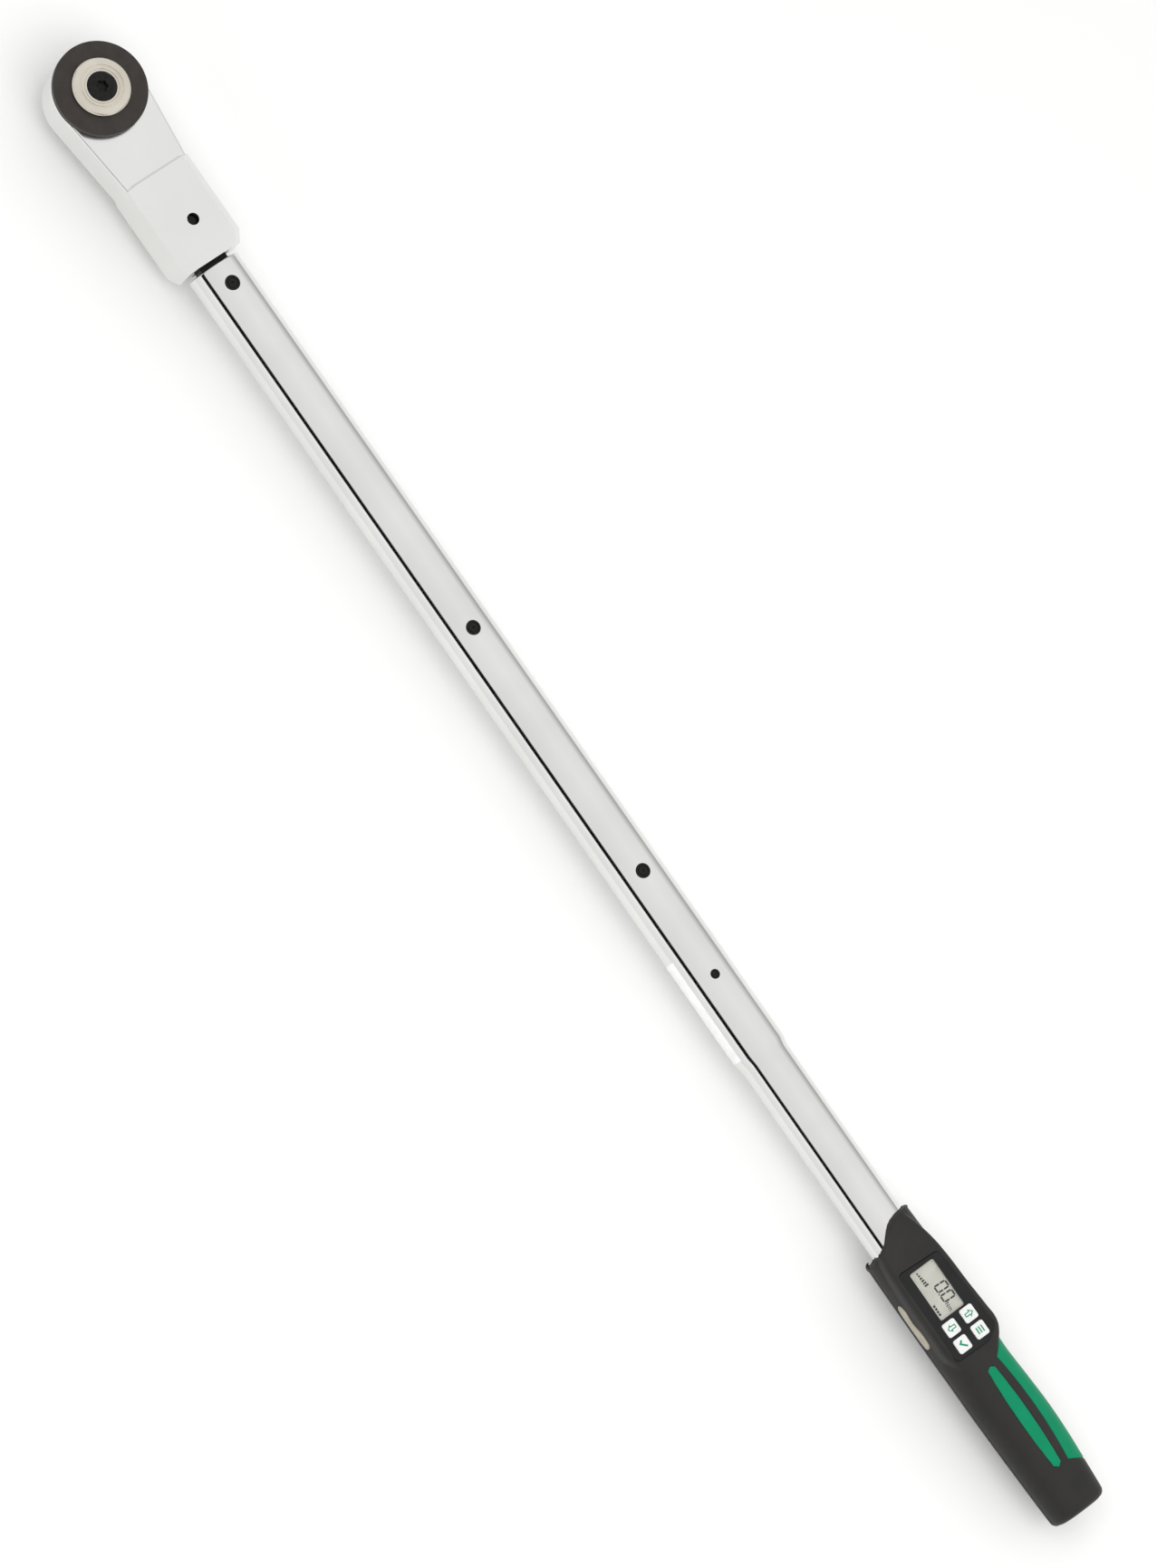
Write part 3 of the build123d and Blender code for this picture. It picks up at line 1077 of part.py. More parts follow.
BUZZER_PLACE, BUZZER_R, BUZZER_HEIGHT, BUZZER_HOLE_R, BUZZER_HOLE_DEPTH = (1105, -4), 6.0, 4.0, 1.0, 1.2
with BuildPart() as buzzer:
    with BuildSketch(level(BOARD_BOTTOM - SOLDER - BUZZER_HEIGHT)):
        with Locations(BUZZER_PLACE):
            Circle(BUZZER_R)
    extrude(amount=BUZZER_HEIGHT)
    with BuildSketch(level(BOARD_BOTTOM - SOLDER - BUZZER_HEIGHT)):
        with Locations(BUZZER_PLACE):
            Circle(BUZZER_HOLE_R)
    extrude(amount=BUZZER_HOLE_DEPTH, mode=Mode.SUBTRACT)
buzzer.part.label = "buzzer"
export_step(buzzer.part, "parts/buzzer.step")

# ---- grip inlays ----

with BuildPart() as inlay_top:
    add(inlay_prism("top", 0))
    add(grip_outer, mode=Mode.INTERSECT)
    add(grip_form(INLAY_DEPTH - GAP, HANDLE_END), mode=Mode.SUBTRACT)
inlay_top.part.label = "inlay_top"
export_step(inlay_top.part, "parts/inlay_top.step")

with BuildPart() as inlay_side:
    add(inlay_prism("side", 0))
    add(grip_outer, mode=Mode.INTERSECT)
    add(grip_form(INLAY_DEPTH - GAP, HANDLE_END), mode=Mode.SUBTRACT)
inlay_side.part.label = "inlay_side"
export_step(inlay_side.part, "parts/inlay_side.step")

# ---- port, battery cover and batteries ----

with BuildPart() as port_cover:
    add(port_prism(0))
    add(grip_outer, mode=Mode.INTERSECT)
    add(grip_form(PORT_THICK, HANDLE_END), mode=Mode.SUBTRACT)
port_cover.part.label = "port_cover"
export_step(port_cover.part, "parts/port_cover.step")

USB_X, USB_Y, USB_Z, USB_LENGTH, USB_HEIGHT, USB_DEPTH = 1086.0, -20.4, 3.0, 9.0, 3.2, 3.4
USB_WALL, USB_CORNER = 0.5, 1.2
with BuildPart() as usb_socket:
    with BuildSketch(facing(USB_Y, USB_X, USB_Z)):
        RectangleRounded(USB_LENGTH, USB_HEIGHT, USB_CORNER)
    extrude(amount=USB_DEPTH)
    with BuildSketch(facing(USB_Y - USB_DEPTH, USB_X, USB_Z)):
        RectangleRounded(USB_LENGTH - 2 * USB_WALL, USB_HEIGHT - 2 * USB_WALL, USB_CORNER - USB_WALL)
    extrude(amount=USB_WALL - USB_DEPTH, mode=Mode.SUBTRACT)
usb_socket.part.label = "usb_socket"
export_step(usb_socket.part, "parts/usb_socket.step")

with BuildPart() as battery_cover:
    add(door_prism(0))
    add(grip_outer, mode=Mode.INTERSECT)
    add(grip_form(DOOR_THICK, HANDLE_END), mode=Mode.SUBTRACT)
battery_cover.part.label = "battery_cover"
export_step(battery_cover.part, "parts/battery_cover.step")

BATTERY_Z, TIP_R, TIP_LENGTH = -4.0, 2.7, 1.0
with BuildPart() as batteries:
    for side in (-1, 1):
        with BuildSketch(section(BATTERY_X0)):
            with Locations((side * BATTERY_Y, BATTERY_Z)):
                Circle(BATTERY_R)
        extrude(amount=BATTERY_LENGTH - TIP_LENGTH)
        with BuildSketch(section(BATTERY_X0 + BATTERY_LENGTH - TIP_LENGTH)):
            with Locations((side * BATTERY_Y, BATTERY_Z)):
                Circle(TIP_R)
        extrude(amount=TIP_LENGTH)
batteries.part.label = "batteries"
export_step(batteries.part, "parts/batteries.step")

CONTACT_WIDTH, CONTACT_HEIGHT, CONTACT_THICK, CONTACT_CORNER = 27.0, 11.0, 1.2, 1.5
with BuildPart() as battery_contacts:
    for x in (BATTERY_X0 - CONTACT_THICK - 1.0, BATTERY_X0 + BATTERY_LENGTH + 4 * GAP):
        with BuildSketch(section(x)):
            with Locations((0, BATTERY_Z)):
                RectangleRounded(CONTACT_WIDTH, CONTACT_HEIGHT, CONTACT_CORNER)
        extrude(amount=CONTACT_THICK)
battery_contacts.part.label = "battery_contacts"
export_step(battery_contacts.part, "parts/battery_contacts.step")
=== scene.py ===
"""Looks of a long electronic click torque wrench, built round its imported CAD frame."""
import math

import bmesh
import bpy
import numpy as np
from mathutils import Matrix, Vector


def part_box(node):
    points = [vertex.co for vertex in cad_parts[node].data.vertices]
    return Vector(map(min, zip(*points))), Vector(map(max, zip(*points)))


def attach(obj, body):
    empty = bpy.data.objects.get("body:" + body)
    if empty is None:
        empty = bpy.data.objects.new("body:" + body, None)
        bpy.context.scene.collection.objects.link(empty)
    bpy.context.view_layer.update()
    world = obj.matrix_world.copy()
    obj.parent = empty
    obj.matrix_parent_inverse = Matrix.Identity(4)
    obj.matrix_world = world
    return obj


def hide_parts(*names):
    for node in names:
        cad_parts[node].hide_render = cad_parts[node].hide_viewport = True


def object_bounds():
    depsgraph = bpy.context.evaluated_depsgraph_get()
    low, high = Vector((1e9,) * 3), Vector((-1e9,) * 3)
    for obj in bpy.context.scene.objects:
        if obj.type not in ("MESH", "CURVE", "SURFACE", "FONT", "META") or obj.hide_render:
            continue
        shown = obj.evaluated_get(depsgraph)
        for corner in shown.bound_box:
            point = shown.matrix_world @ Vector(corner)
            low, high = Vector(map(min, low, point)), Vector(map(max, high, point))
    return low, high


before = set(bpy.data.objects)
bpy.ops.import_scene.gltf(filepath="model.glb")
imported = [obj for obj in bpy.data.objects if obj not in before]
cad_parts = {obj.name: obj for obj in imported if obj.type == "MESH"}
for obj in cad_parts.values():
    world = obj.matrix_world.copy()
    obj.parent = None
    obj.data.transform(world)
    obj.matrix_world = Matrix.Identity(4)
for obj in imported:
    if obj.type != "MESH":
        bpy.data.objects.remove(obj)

bl_info = {
    "name": "Torque wrench looks",
    "version": (1, 0, 0),
    "blender": (4, 5, 0),
    "location": "3D View > Sidebar > Wrench",
    "description": "Builds the visible skins, display and finishes of a torque wrench round its CAD frame",
    "category": "Object",
}

CAD_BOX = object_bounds()
MM = 0.001

# ---- places and sizes read from the frame, in millimetres ----


def box_mm(node):
    """Lowest and highest corner of a CAD node in millimetres."""
    low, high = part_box(node)
    return np.array(low) / MM, np.array(high) / MM


TUBE_LOW, TUBE_HIGH = box_mm("tube")
AXIS_Z = (TUBE_LOW[2] + TUBE_HIGH[2]) / 2
TUBE_HALF_WIDTH = (TUBE_HIGH[1] - TUBE_LOW[1]) / 2
TUBE_HALF_HEIGHT = (TUBE_HIGH[2] - TUBE_LOW[2]) / 2
THIN_SHARE = 0.924  # width and height of the tube past its necked-down step, as a share
TUBE_WALL = 3.0
LABEL_END = box_mm("range_label")[1][0]
NECK_START, NECK_END = LABEL_END + 1.0, LABEL_END + 12.0
SHELL_LOW, SHELL_HIGH = box_mm("handle_shell_upper")
HANDLE_START, HANDLE_END = SHELL_LOW[0], SHELL_HIGH[0]
SEAM = SHELL_LOW[2] - AXIS_Z
BEZEL_LOW, BEZEL_HIGH = box_mm("display_bezel")
LCD_LOW, LCD_HIGH = box_mm("lcd_window")


# ---- settings a user may change ----


class TubeSettings(bpy.types.PropertyGroup):
    steps: bpy.props.IntProperty(
        name="Steps around", description="Faces around the oval tube", default=160, min=32
    )
    mouth_round: bpy.props.FloatProperty(
        name="Mouth edge", description="Rounding of the tube's front edge in mm", default=1.6
    )
    tint: bpy.props.StringProperty(
        name="Chrome tint", description="Colour of the satin chrome as an sRGB hex value", default="#E3E3E1"
    )


class HeadSettings(bpy.types.PropertyGroup):
    tint: bpy.props.StringProperty(
        name="Head tint", description="Colour of the head's chrome as an sRGB hex value", default="#E6E6E4"
    )


class HandleSettings(bpy.types.PropertyGroup):
    cell: bpy.props.FloatProperty(
        name="Cell", description="Size of the skin's faces in mm", default=0.9, min=0.3
    )
    wall: bpy.props.FloatProperty(
        name="Wall", description="Thickness of the moulded shells in mm", default=2.2
    )
    seam_gap: bpy.props.FloatProperty(
        name="Seam gap", description="Width of the parting line in mm", default=0.45
    )
    shell: bpy.props.StringProperty(
        name="Shell colour", description="sRGB hex colour of the moulded shells", default="#201F1E"
    )
    inlay: bpy.props.StringProperty(
        name="Inlay colour", description="sRGB hex colour of the soft inlays", default="#00835A"
    )


class StageSettings(bpy.types.PropertyGroup):
    tilt: bpy.props.FloatProperty(
        name="Camera tilt", description="Lean of the camera off the vertical", default=math.radians(21.28),
        subtype="ANGLE",
    )
    slope: bpy.props.FloatProperty(
        name="Lie", description="Slope of the tool across the frame", default=math.radians(55.076),
        subtype="ANGLE",
    )
    distance: bpy.props.FloatProperty(
        name="Camera distance", description="From the tool's middle", default=5.557, unit="LENGTH"
    )
    floor: bpy.props.StringProperty(
        name="Floor colour", description="sRGB hex colour of the floor", default="#F4F4F3"
    )


def settings(kind):
    """The scene's settings for one group of pieces."""
    return getattr(bpy.context.scene, "wrench_" + kind)


# ---- materials ----


def linear(hex_colour):
    """An sRGB hex value as linear red, green, blue and alpha."""
    parts = [int(hex_colour.lstrip("#")[i:i + 2], 16) / 255 for i in (0, 2, 4)]
    return [c / 12.92 if c <= 0.04045 else ((c + 0.055) / 1.055) ** 2.4 for c in parts] + [1.0]


def add_node(material, kind, values=(), links=(), **properties):
    """A node with its properties, its socket values and its (input, source socket) links."""
    node = material.node_tree.nodes.new(kind)
    for key, value in properties.items():
        setattr(node, key, value)
    for key, value in dict(values).items():
        node.inputs[key].default_value = value
    for key, source in links:
        material.node_tree.links.new(source, node.inputs[key])
    return node


def new_material(name, values):
    """An empty principled material: the material and its shader."""
    material = bpy.data.materials.new(name)
    material.use_nodes = True
    shader = material.node_tree.nodes["Principled BSDF"]
    for key, value in values.items():
        shader.inputs[key].default_value = value
    return material, shader


def per_metre(size_mm):
    """Noise scale whose grain is size_mm across, for coordinates in metres."""
    return 1 / (size_mm * MM)


def mottle(material, shader, dark, light, size_mm):
    """Base colour that drifts between two close tones, as real finishes do."""
    place = add_node(material, "ShaderNodeNewGeometry").outputs["Position"]
    noise = add_node(
        material, "ShaderNodeTexNoise", {"Scale": per_metre(size_mm), "Detail": 3.0}, [("Vector", place)]
    )
    ramp = add_node(material, "ShaderNodeValToRGB", {}, [("Fac", noise.outputs["Fac"])])
    for stop, position, tone in zip(ramp.color_ramp.elements, (0.35, 0.65), (dark, light)):
        stop.position = position
        stop.color = linear(tone)
    material.node_tree.links.new(ramp.outputs["Color"], shader.inputs["Base Color"])


def grain(material, shader, size_mm, depth_mm, strength, stretch, rough):
    """Surface grain as bump and as a spread of roughness between the two values of rough."""
    place = add_node(material, "ShaderNodeNewGeometry").outputs["Position"]
    scaled = add_node(material, "ShaderNodeMapping", {"Scale": stretch}, [("Vector", place)])
    noise = add_node(
        material,
        "ShaderNodeTexNoise",
        {"Scale": per_metre(size_mm), "Detail": 2.0},
        [("Vector", scaled.outputs["Vector"])],
    )
    bump = add_node(
        material,
        "ShaderNodeBump",
        {"Strength": strength, "Distance": depth_mm * MM},
        [("Height", noise.outputs["Fac"])],
    )
    material.node_tree.links.new(bump.outputs["Normal"], shader.inputs["Normal"])
    spread = add_node(
        material,
        "ShaderNodeMapRange",
        {"To Min": rough[0], "To Max": rough[1]},
        [("Value", noise.outputs["Fac"])],
    )
    material.node_tree.links.new(spread.outputs["Result"], shader.inputs["Roughness"])


def turned_steel():
    """Hub turned in a lathe and left bright: fine circles that spread the light in a ring."""
    material, shader = new_material("turned_bright_steel", {"Metallic": 1.0, "Roughness": 0.2})
    mottle(material, shader, "#CBC4B7", "#D8D2C6", 30)
    place = add_node(material, "ShaderNodeNewGeometry").outputs["Position"]
    split = add_node(material, "ShaderNodeSeparateXYZ", {}, [("Vector", place)])
    flat = add_node(
        material, "ShaderNodeCombineXYZ", {}, [("X", split.outputs["X"]), ("Y", split.outputs["Y"])]
    )
    radius = add_node(
        material, "ShaderNodeVectorMath", {}, [(0, flat.outputs["Vector"])], operation="LENGTH"
    )
    # cutting feed of 0.35 mm a turn, drawn a little coarse so that it shows
    turns = add_node(
        material,
        "ShaderNodeMath",
        {1: 2 * math.pi / (0.35 * MM)},
        [(0, radius.outputs["Value"])],
        operation="MULTIPLY",
    )
    wave = add_node(material, "ShaderNodeMath", {}, [(0, turns.outputs["Value"])], operation="SINE")
    bump = add_node(
        material,
        "ShaderNodeBump",
        {"Strength": 0.35, "Distance": 0.006 * MM},
        [("Height", wave.outputs["Value"])],
    )
    material.node_tree.links.new(bump.outputs["Normal"], shader.inputs["Normal"])
    return material


EVEN = (1, 1, 1)
# finish: material name, shader values, (dark, light, size in mm) of the mottle, and
# (size in mm, depth in mm, strength, stretch, roughness range) of the grain, or None where it is flat
SURFACES = {
    # drop-forged steel, shot-blasted and satin chromed: a very fine pearly grain
    "forging": ("blasted_satin_chromed_forging", {"Metallic": 1.0},
        ("#E1E1DF", "head.tint", 90), (0.9, 0.006, 0.3, EVEN, (0.16, 0.26))),
    # drawn steel tube, belt-polished along its length and satin chromed: clean, with soft long streaks
    "tube": ("satin_chromed_drawn_tube", {"Metallic": 1.0},
        ("#DEDEDC", "tube.tint", 60), (0.6, 0.002, 0.25, (0.02, 1, 1), (0.07, 0.11))),
    # hardened steel, ground and oiled: grey, with fine scratches
    "ground": ("ground_hardened_steel", {"Metallic": 1.0},
        ("#8E8F90", "#A6A7A8", 12), (0.5, 0.004, 0.4, (0.1, 1, 1), (0.22, 0.38))),
    # blackened steel screws and pins: deep black with a slight oily sheen, paler where it has rubbed
    "black_oxide": ("black_oxide_steel", {"Metallic": 0.0, "Specular IOR Level": 0.2},
        ("#0E0E0D", "#1A1918", 3), (0.4, 0.006, 0.5, EVEN, (0.32, 0.5))),
    # glass-filled nylon, moulded in a spark-eroded tool: warm black, evenly matt
    "dial": ("glass_filled_nylon_moulding", {"IOR": 1.53, "Specular IOR Level": 0.3},
        ("#2C2724", "#332E2B", 9), (0.35, 0.02, 0.5, EVEN, (0.42, 0.56))),
    # polyamide shells with a fine spark-eroded grain: charcoal, matt, slightly worn where held
    "shell": ("moulded_polyamide_shell", {"IOR": 1.53, "Specular IOR Level": 0.32},
        ("handle.shell", "#272524", 35), (0.55, 0.035, 0.55, EVEN, (0.46, 0.6))),
    # polycarbonate front foil, smooth: near black, silky reflections
    "bezel": ("smooth_polycarbonate_foil", {"IOR": 1.58, "Specular IOR Level": 0.25},
        ("#0E0F10", "#141516", 14), (0.3, 0.004, 0.4, EVEN, (0.28, 0.36))),
    # clear acrylic window over the display: shows the display with a light gloss
    "window": ("clear_acrylic_window",
        {"IOR": 1.49, "Alpha": 0.04, "Roughness": 0.1, "Specular IOR Level": 0.3},
        ("#DDE2DC", "#E6EAE4", 20), None),
    # liquid-crystal cell over a matt reflector: warm grey-green, very slightly pearly
    "display": ("liquid_crystal_reflector", {"IOR": 1.52},
        ("#B3B2A8", "#BCBBB1", 12), (2.5, 0.002, 0.2, EVEN, (0.45, 0.5))),
    # switched-on liquid-crystal segments: flat dark grey
    "segment": ("switched_crystal_segment", {"IOR": 1.52, "Roughness": 0.5, "Specular IOR Level": 0.1},
        ("#0F1211", "#161A18", 4), None),
    # white ABS keys, moulded smooth: satin, with a trace of warmth
    "key": ("moulded_white_abs", {"IOR": 1.54},
        ("#DEDFDD", "#E6E6E4", 6), (0.3, 0.006, 0.3, EVEN, (0.34, 0.42))),
    # soft thermoplastic elastomer inlays: saturated green with a dry satin skin
    "inlay": ("moulded_green_elastomer", {"IOR": 1.5, "Specular IOR Level": 0.18},
        ("handle.inlay", "#00875E", 18), (0.4, 0.025, 0.5, EVEN, (0.4, 0.52))),
    # green marks pad-printed on the keys: thin and flat
    "print": ("pad_printed_green_ink", {"IOR": 1.5, "Roughness": 0.45, "Specular IOR Level": 0.2},
        ("#0F8560", "#1B8F6B", 2), None),
    # port cover moulded in warm grey silicone: matt, a little dusty
    "port": ("moulded_grey_silicone", {"IOR": 1.42, "Sheen Weight": 0.15},
        ("#A29C8C", "#ADA797", 5), (0.4, 0.02, 0.5, EVEN, (0.55, 0.68))),
    # plain white film label: flat, faintly satin
    "label": ("white_film_label", {"IOR": 1.5},
        ("#ECECEA", "#F6F6F4", 15), (0.2, 0.003, 0.4, EVEN, (0.45, 0.55))),
    # drawn spring wire: bright grey with drawing marks
    "wire": ("drawn_spring_wire", {"Metallic": 1.0},
        ("#8A8A88", "#A09F9C", 2), (0.2, 0.004, 0.4, EVEN, (0.25, 0.38))),
    # varnished copper winding: orange-brown, glossy
    "copper": ("enamelled_copper_winding", {"Metallic": 1.0},
        ("#A5643A", "#BC7848", 1.5), (0.5, 0.05, 0.8, (1, 0.02, 0.02), (0.2, 0.32))),
    # oil-filled sintered bronze: brown-gold with fine pores
    "bronze": ("sintered_bronze", {"Metallic": 1.0},
        ("#8F7440", "#A88A50", 1.5), (0.25, 0.02, 0.7, EVEN, (0.35, 0.55))),
    # glass-epoxy board under green solder mask: dark green, glossy, faint weave
    "board": ("solder_masked_board", {"IOR": 1.55},
        ("#0E4A2A", "#145A34", 2.5), (0.5, 0.01, 0.5, EVEN, (0.22, 0.34))),
    # black moulded epoxy and nylon of the inner parts: matt black
    "epoxy": ("moulded_black_epoxy", {"IOR": 1.55},
        ("#161616", "#202020", 2), (0.3, 0.01, 0.5, EVEN, (0.45, 0.6))),
    # nitrile rubber seal: black, matt, slightly greasy
    "nitrile": ("moulded_nitrile_rubber", {"IOR": 1.52},
        ("#121212", "#1A1A1A", 2), (0.3, 0.01, 0.5, EVEN, (0.5, 0.65))),
    # printed shrink sleeve of a dry cell: dark grey-blue gloss
    "battery": ("printed_cell_sleeve", {"IOR": 1.5},
        ("#3A4246", "#465056", 20), (0.6, 0.01, 0.3, EVEN, (0.2, 0.3))),
}


def surface(name, values, tones, texture):
    """A material from its row of the table."""
    material, shader = new_material(name, values)
    dark, light, size_mm = tones
    mottle(material, shader, chosen(dark), chosen(light), size_mm)
    if texture:
        grain(material, shader, *texture)
    return material


def chosen(colour):
    """A hex colour as it stands, or the setting that a "group.field" names."""
    if colour.startswith("#"):
        return colour
    group, field = colour.split(".")
    return getattr(settings(group), field)


_made = {}


def finish_named(name):
    """The material of that finish, made once."""
    if name not in _made:
        _made[name] = turned_steel() if name == "turned" else surface(*SURFACES[name])
    return _made[name]


# ---- mesh helpers ----


def make_object(name, points, faces, finish, smooth_angle):
    """A mesh object from points in millimetres, shaded smooth up to an angle."""
    mesh = bpy.data.meshes.new(name)
    mesh.from_pydata([tuple(p) for p in np.asarray(points) * MM], [], faces)
    mesh.validate()
    shade(mesh, smooth_angle)
    piece = bpy.data.objects.new(name, mesh)
    bpy.context.scene.collection.objects.link(piece)
    mesh.materials.append(finish_named(finish))
    return piece


def shade(mesh, smooth_angle):
    """Smooth shading with edges sharper than the angle kept crisp."""
    mesh.shade_smooth()
    mesh.set_sharp_from_angle(angle=math.radians(smooth_angle))


def apply_modifiers(piece, smooth_angle):
    """Turns a piece with modifiers into its final mesh."""
    bpy.context.view_layer.update()
    graph = bpy.context.evaluated_depsgraph_get()
    final = bpy.data.meshes.new_from_object(piece.evaluated_get(graph))
    piece.modifiers.clear()
    old, piece.data = piece.data, final
    bpy.data.meshes.remove(old)
    shade(final, smooth_angle)
    return piece


def place(piece, body, slot, *nodes):
    """Rides the piece on its body and hides the CAD nodes it stands for."""
    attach(piece, body)
    if nodes:
        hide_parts(*nodes)
    return piece


def ring_faces(rings, steps):
    """Quads between successive rings of points, and from the last ring back to the first."""
    faces = []
    for ring in range(rings - 1):
        for step in range(steps):
            here, after = ring * steps + step, ring * steps + (step + 1) % steps
            faces.append((here, after, after + steps, here + steps))
    last = (rings - 1) * steps
    faces += [(last + s, last + (s + 1) % steps, (s + 1) % steps, s) for s in range(steps)]
    return faces


def lathe(name, profile, finish, steps=192):
    """A turned piece: (radius, height) profile in mm from bottom to top, closed on itself."""
    points = []
    for radius, height in profile:
        for step in range(steps):
            angle = 2 * math.pi * step / steps
            points.append((radius * math.cos(angle), radius * math.sin(angle), height))
    return make_object(name, points, ring_faces(len(profile), steps), finish, 28)


def rounded(points, radius, arc_steps=6):
    """A closed outline with each corner rounded to a radius."""
    outline = []
    count = len(points)
    for i, corner in enumerate(points):
        corner = np.array(corner, float)
        before, after = np.array(points[i - 1], float), np.array(points[(i + 1) % count], float)
        to_before, to_after = before - corner, after - corner
        to_before /= np.linalg.norm(to_before)
        to_after /= np.linalg.norm(to_after)
        half = math.acos(np.clip(to_before @ to_after, -1, 1)) / 2
        reach = radius / math.tan(half)
        middle = to_before + to_after
        centre = corner + middle / np.linalg.norm(middle) * radius / math.sin(half)
        start, end = corner + to_before * reach - centre, corner + to_after * reach - centre
        sweep = math.atan2(start[0] * end[1] - start[1] * end[0], start @ end)
        for step in range(arc_steps + 1):
            turn = sweep * step / arc_steps
            cos, sin = math.cos(turn), math.sin(turn)
            outline.append(centre + (start[0] * cos - start[1] * sin, start[0] * sin + start[1] * cos))
    return outline


def rectangle(x0, x1, y0, y1):
    """Corners of a rectangle, counter-clockwise."""
    return [(x0, y0), (x1, y0), (x1, y1), (x0, y1)]


def shifted(outline, by):
    """A closed outline moved outwards along its normals, for either direction of travel."""
    outline = np.asarray(outline, float)
    after = np.roll(outline, -1, axis=0)
    area = (outline[:, 0] * after[:, 1] - after[:, 0] * outline[:, 1]).sum()
    edge = after - outline
    edge /= np.linalg.norm(edge, axis=1)[:, None]
    normal = np.stack([edge[:, 1], -edge[:, 0]], -1) * np.sign(area)
    before = np.roll(normal, 1, axis=0)
    share = np.maximum(1 + (normal * before).sum(1), 0.3)
    return outline + (normal + before) / share[:, None] * by


def plate(name, outlines, low, high, edge, finish, holes=False):
    """A flat plate in the XY plane from closed outlines in mm, edges softened; later ones may be holes."""
    curve = bpy.data.curves.new(name, "CURVE")
    curve.dimensions = "2D"
    curve.fill_mode = "BOTH"
    curve.extrude = ((high - low) / 2 - edge) * MM
    curve.bevel_depth = edge * MM
    curve.bevel_resolution = 2
    for i, outline in enumerate(outlines):
        # the bevel adds its own width, so outer outlines shrink by it and holes grow
        outline = shifted(outline, edge if holes and i else -edge)
        spline = curve.splines.new("POLY")
        spline.points.add(len(outline) - 1)
        spline.use_cyclic_u = True
        for point, (x, y) in zip(spline.points, outline):
            point.co = (x * MM, y * MM, 0, 1)
    shaper = bpy.data.objects.new(name + "_outline", curve)
    bpy.context.scene.collection.objects.link(shaper)
    bpy.context.view_layer.update()
    graph = bpy.context.evaluated_depsgraph_get()
    mesh = bpy.data.meshes.new_from_object(shaper.evaluated_get(graph))
    bpy.data.objects.remove(shaper)
    mesh.transform(Matrix.Translation((0, 0, (low + high) / 2 * MM)))
    piece = bpy.data.objects.new(name, mesh)
    bpy.context.scene.collection.objects.link(piece)
    mesh.materials.clear()
    mesh.materials.append(finish_named(finish))
    shade(mesh, 35)
    return piece


# ---- the handle's outer form ----

# x, half width on +Y, half width on -Y, height of the top, depth of the bottom
GRIP = np.array([
    (HANDLE_START, 23.9, 24.6, 17.0, 16.9),
    (1015, 24.3, 26.2, 17.3, 17.1),
    (1028, 24.7, 27.1, 17.4, 17.3),
    (1052, 25.1, 27.3, 17.4, 17.4),
    (1075, 25.5, 27.3, 17.4, 17.4),
    (1108, 25.2, 27.1, 17.2, 17.2),
    (1130, 24.5, 26.8, 16.9, 16.9),
    (1157, 25.9, 26.6, 16.8, 16.8),
    (1181, 27.0, 26.1, 16.8, 16.8),
    (1208, 26.6, 25.3, 16.6, 16.6),
    (1232, 25.0, 24.5, 16.2, 16.2),
    (1248, 23.9, 23.9, 15.9, 15.9),
    (HANDLE_END, 22.9, 23.3, 15.6, 15.6),
])
# x, half width on +Y, half width on -Y, height of the raised display housing
POD = np.array([
    (HANDLE_START, 13.0, 14.0, 15.4),
    (1012, 16.5, 18.5, 17.0),
    (1024, 20.0, 22.4, 18.7),
    (1038, 22.4, 24.4, 20.0),
    (1052, 23.6, 25.0, 20.35),
    (1075, 24.6, 25.4, 20.4),
    (1098, 26.2, 25.4, 20.4),
    (1107, 26.7, 25.4, 20.35),
    (1113, 25.6, 24.6, 19.5),
    (1119, 22.5, 22.0, 17.6),
    (1126, 17.0, 18.0, 14.8),
    (HANDLE_END, 12.0, 12.0, 10.0),
])
GRIP_SQUARENESS = 2.3
POD_SQUARENESS = 9.0
MERGE = 26.0  # how sharply the display housing meets the grip
# plan contour of the shells' front rim, from the +Y side to the -Y side: y, x
RIM = np.array([
    (30, HANDLE_START), (12, HANDLE_START + 0.2), (4, 1005.0), (-1, 1007.0), (-5, 1010.0), (-14, 1018.4),
    (-18, 1021.8), (-20.5, 1022.3), (-22.5, 1021.6), (-26, 1026.0), (-30, 1028.0),
])
# the same for the lower shell: angle from the +Y seam round underneath, x
LOWER_RIM = np.array([
    (0.0, HANDLE_START), (0.5, HANDLE_START), (1.2, 1008.0), (2.0, 1020.0), (2.45, 1030.0), (2.7, 1029.5),
    (2.95, 1025.0), (math.pi, 1022.0),
])
RIM_FADE = 46.0  # length over which the rim's slant fades into the body
END_ROUND = 5.5


def smooth(t):
    """Smooth step from 0 to 1."""
    t = np.clip(t, 0, 1)
    return t * t * (3 - 2 * t)


def along(table, x, column):
    """A column of a station table at x, joined by a smooth curve through the stations."""
    xs, values = table[:, 0], table[:, column]
    slopes = np.gradient(values, xs)
    i = np.clip(np.searchsorted(xs, x) - 1, 0, len(xs) - 2)
    span = xs[i + 1] - xs[i]
    t = np.clip((x - xs[i]) / span, 0, 1)
    h00, h10 = 2 * t**3 - 3 * t**2 + 1, t**3 - 2 * t**2 + t
    h01, h11 = -2 * t**3 + 3 * t**2, t**3 - t**2
    return h00 * values[i] + h10 * span * slopes[i] + h01 * values[i + 1] + h11 * span * slopes[i + 1]


def reach(cos, sin, half, height, square):
    """Distance from the axis to a squared-off oval in a direction."""
    return (np.abs(cos / half) ** square + np.abs(sin / height) ** square) ** (-1 / square)


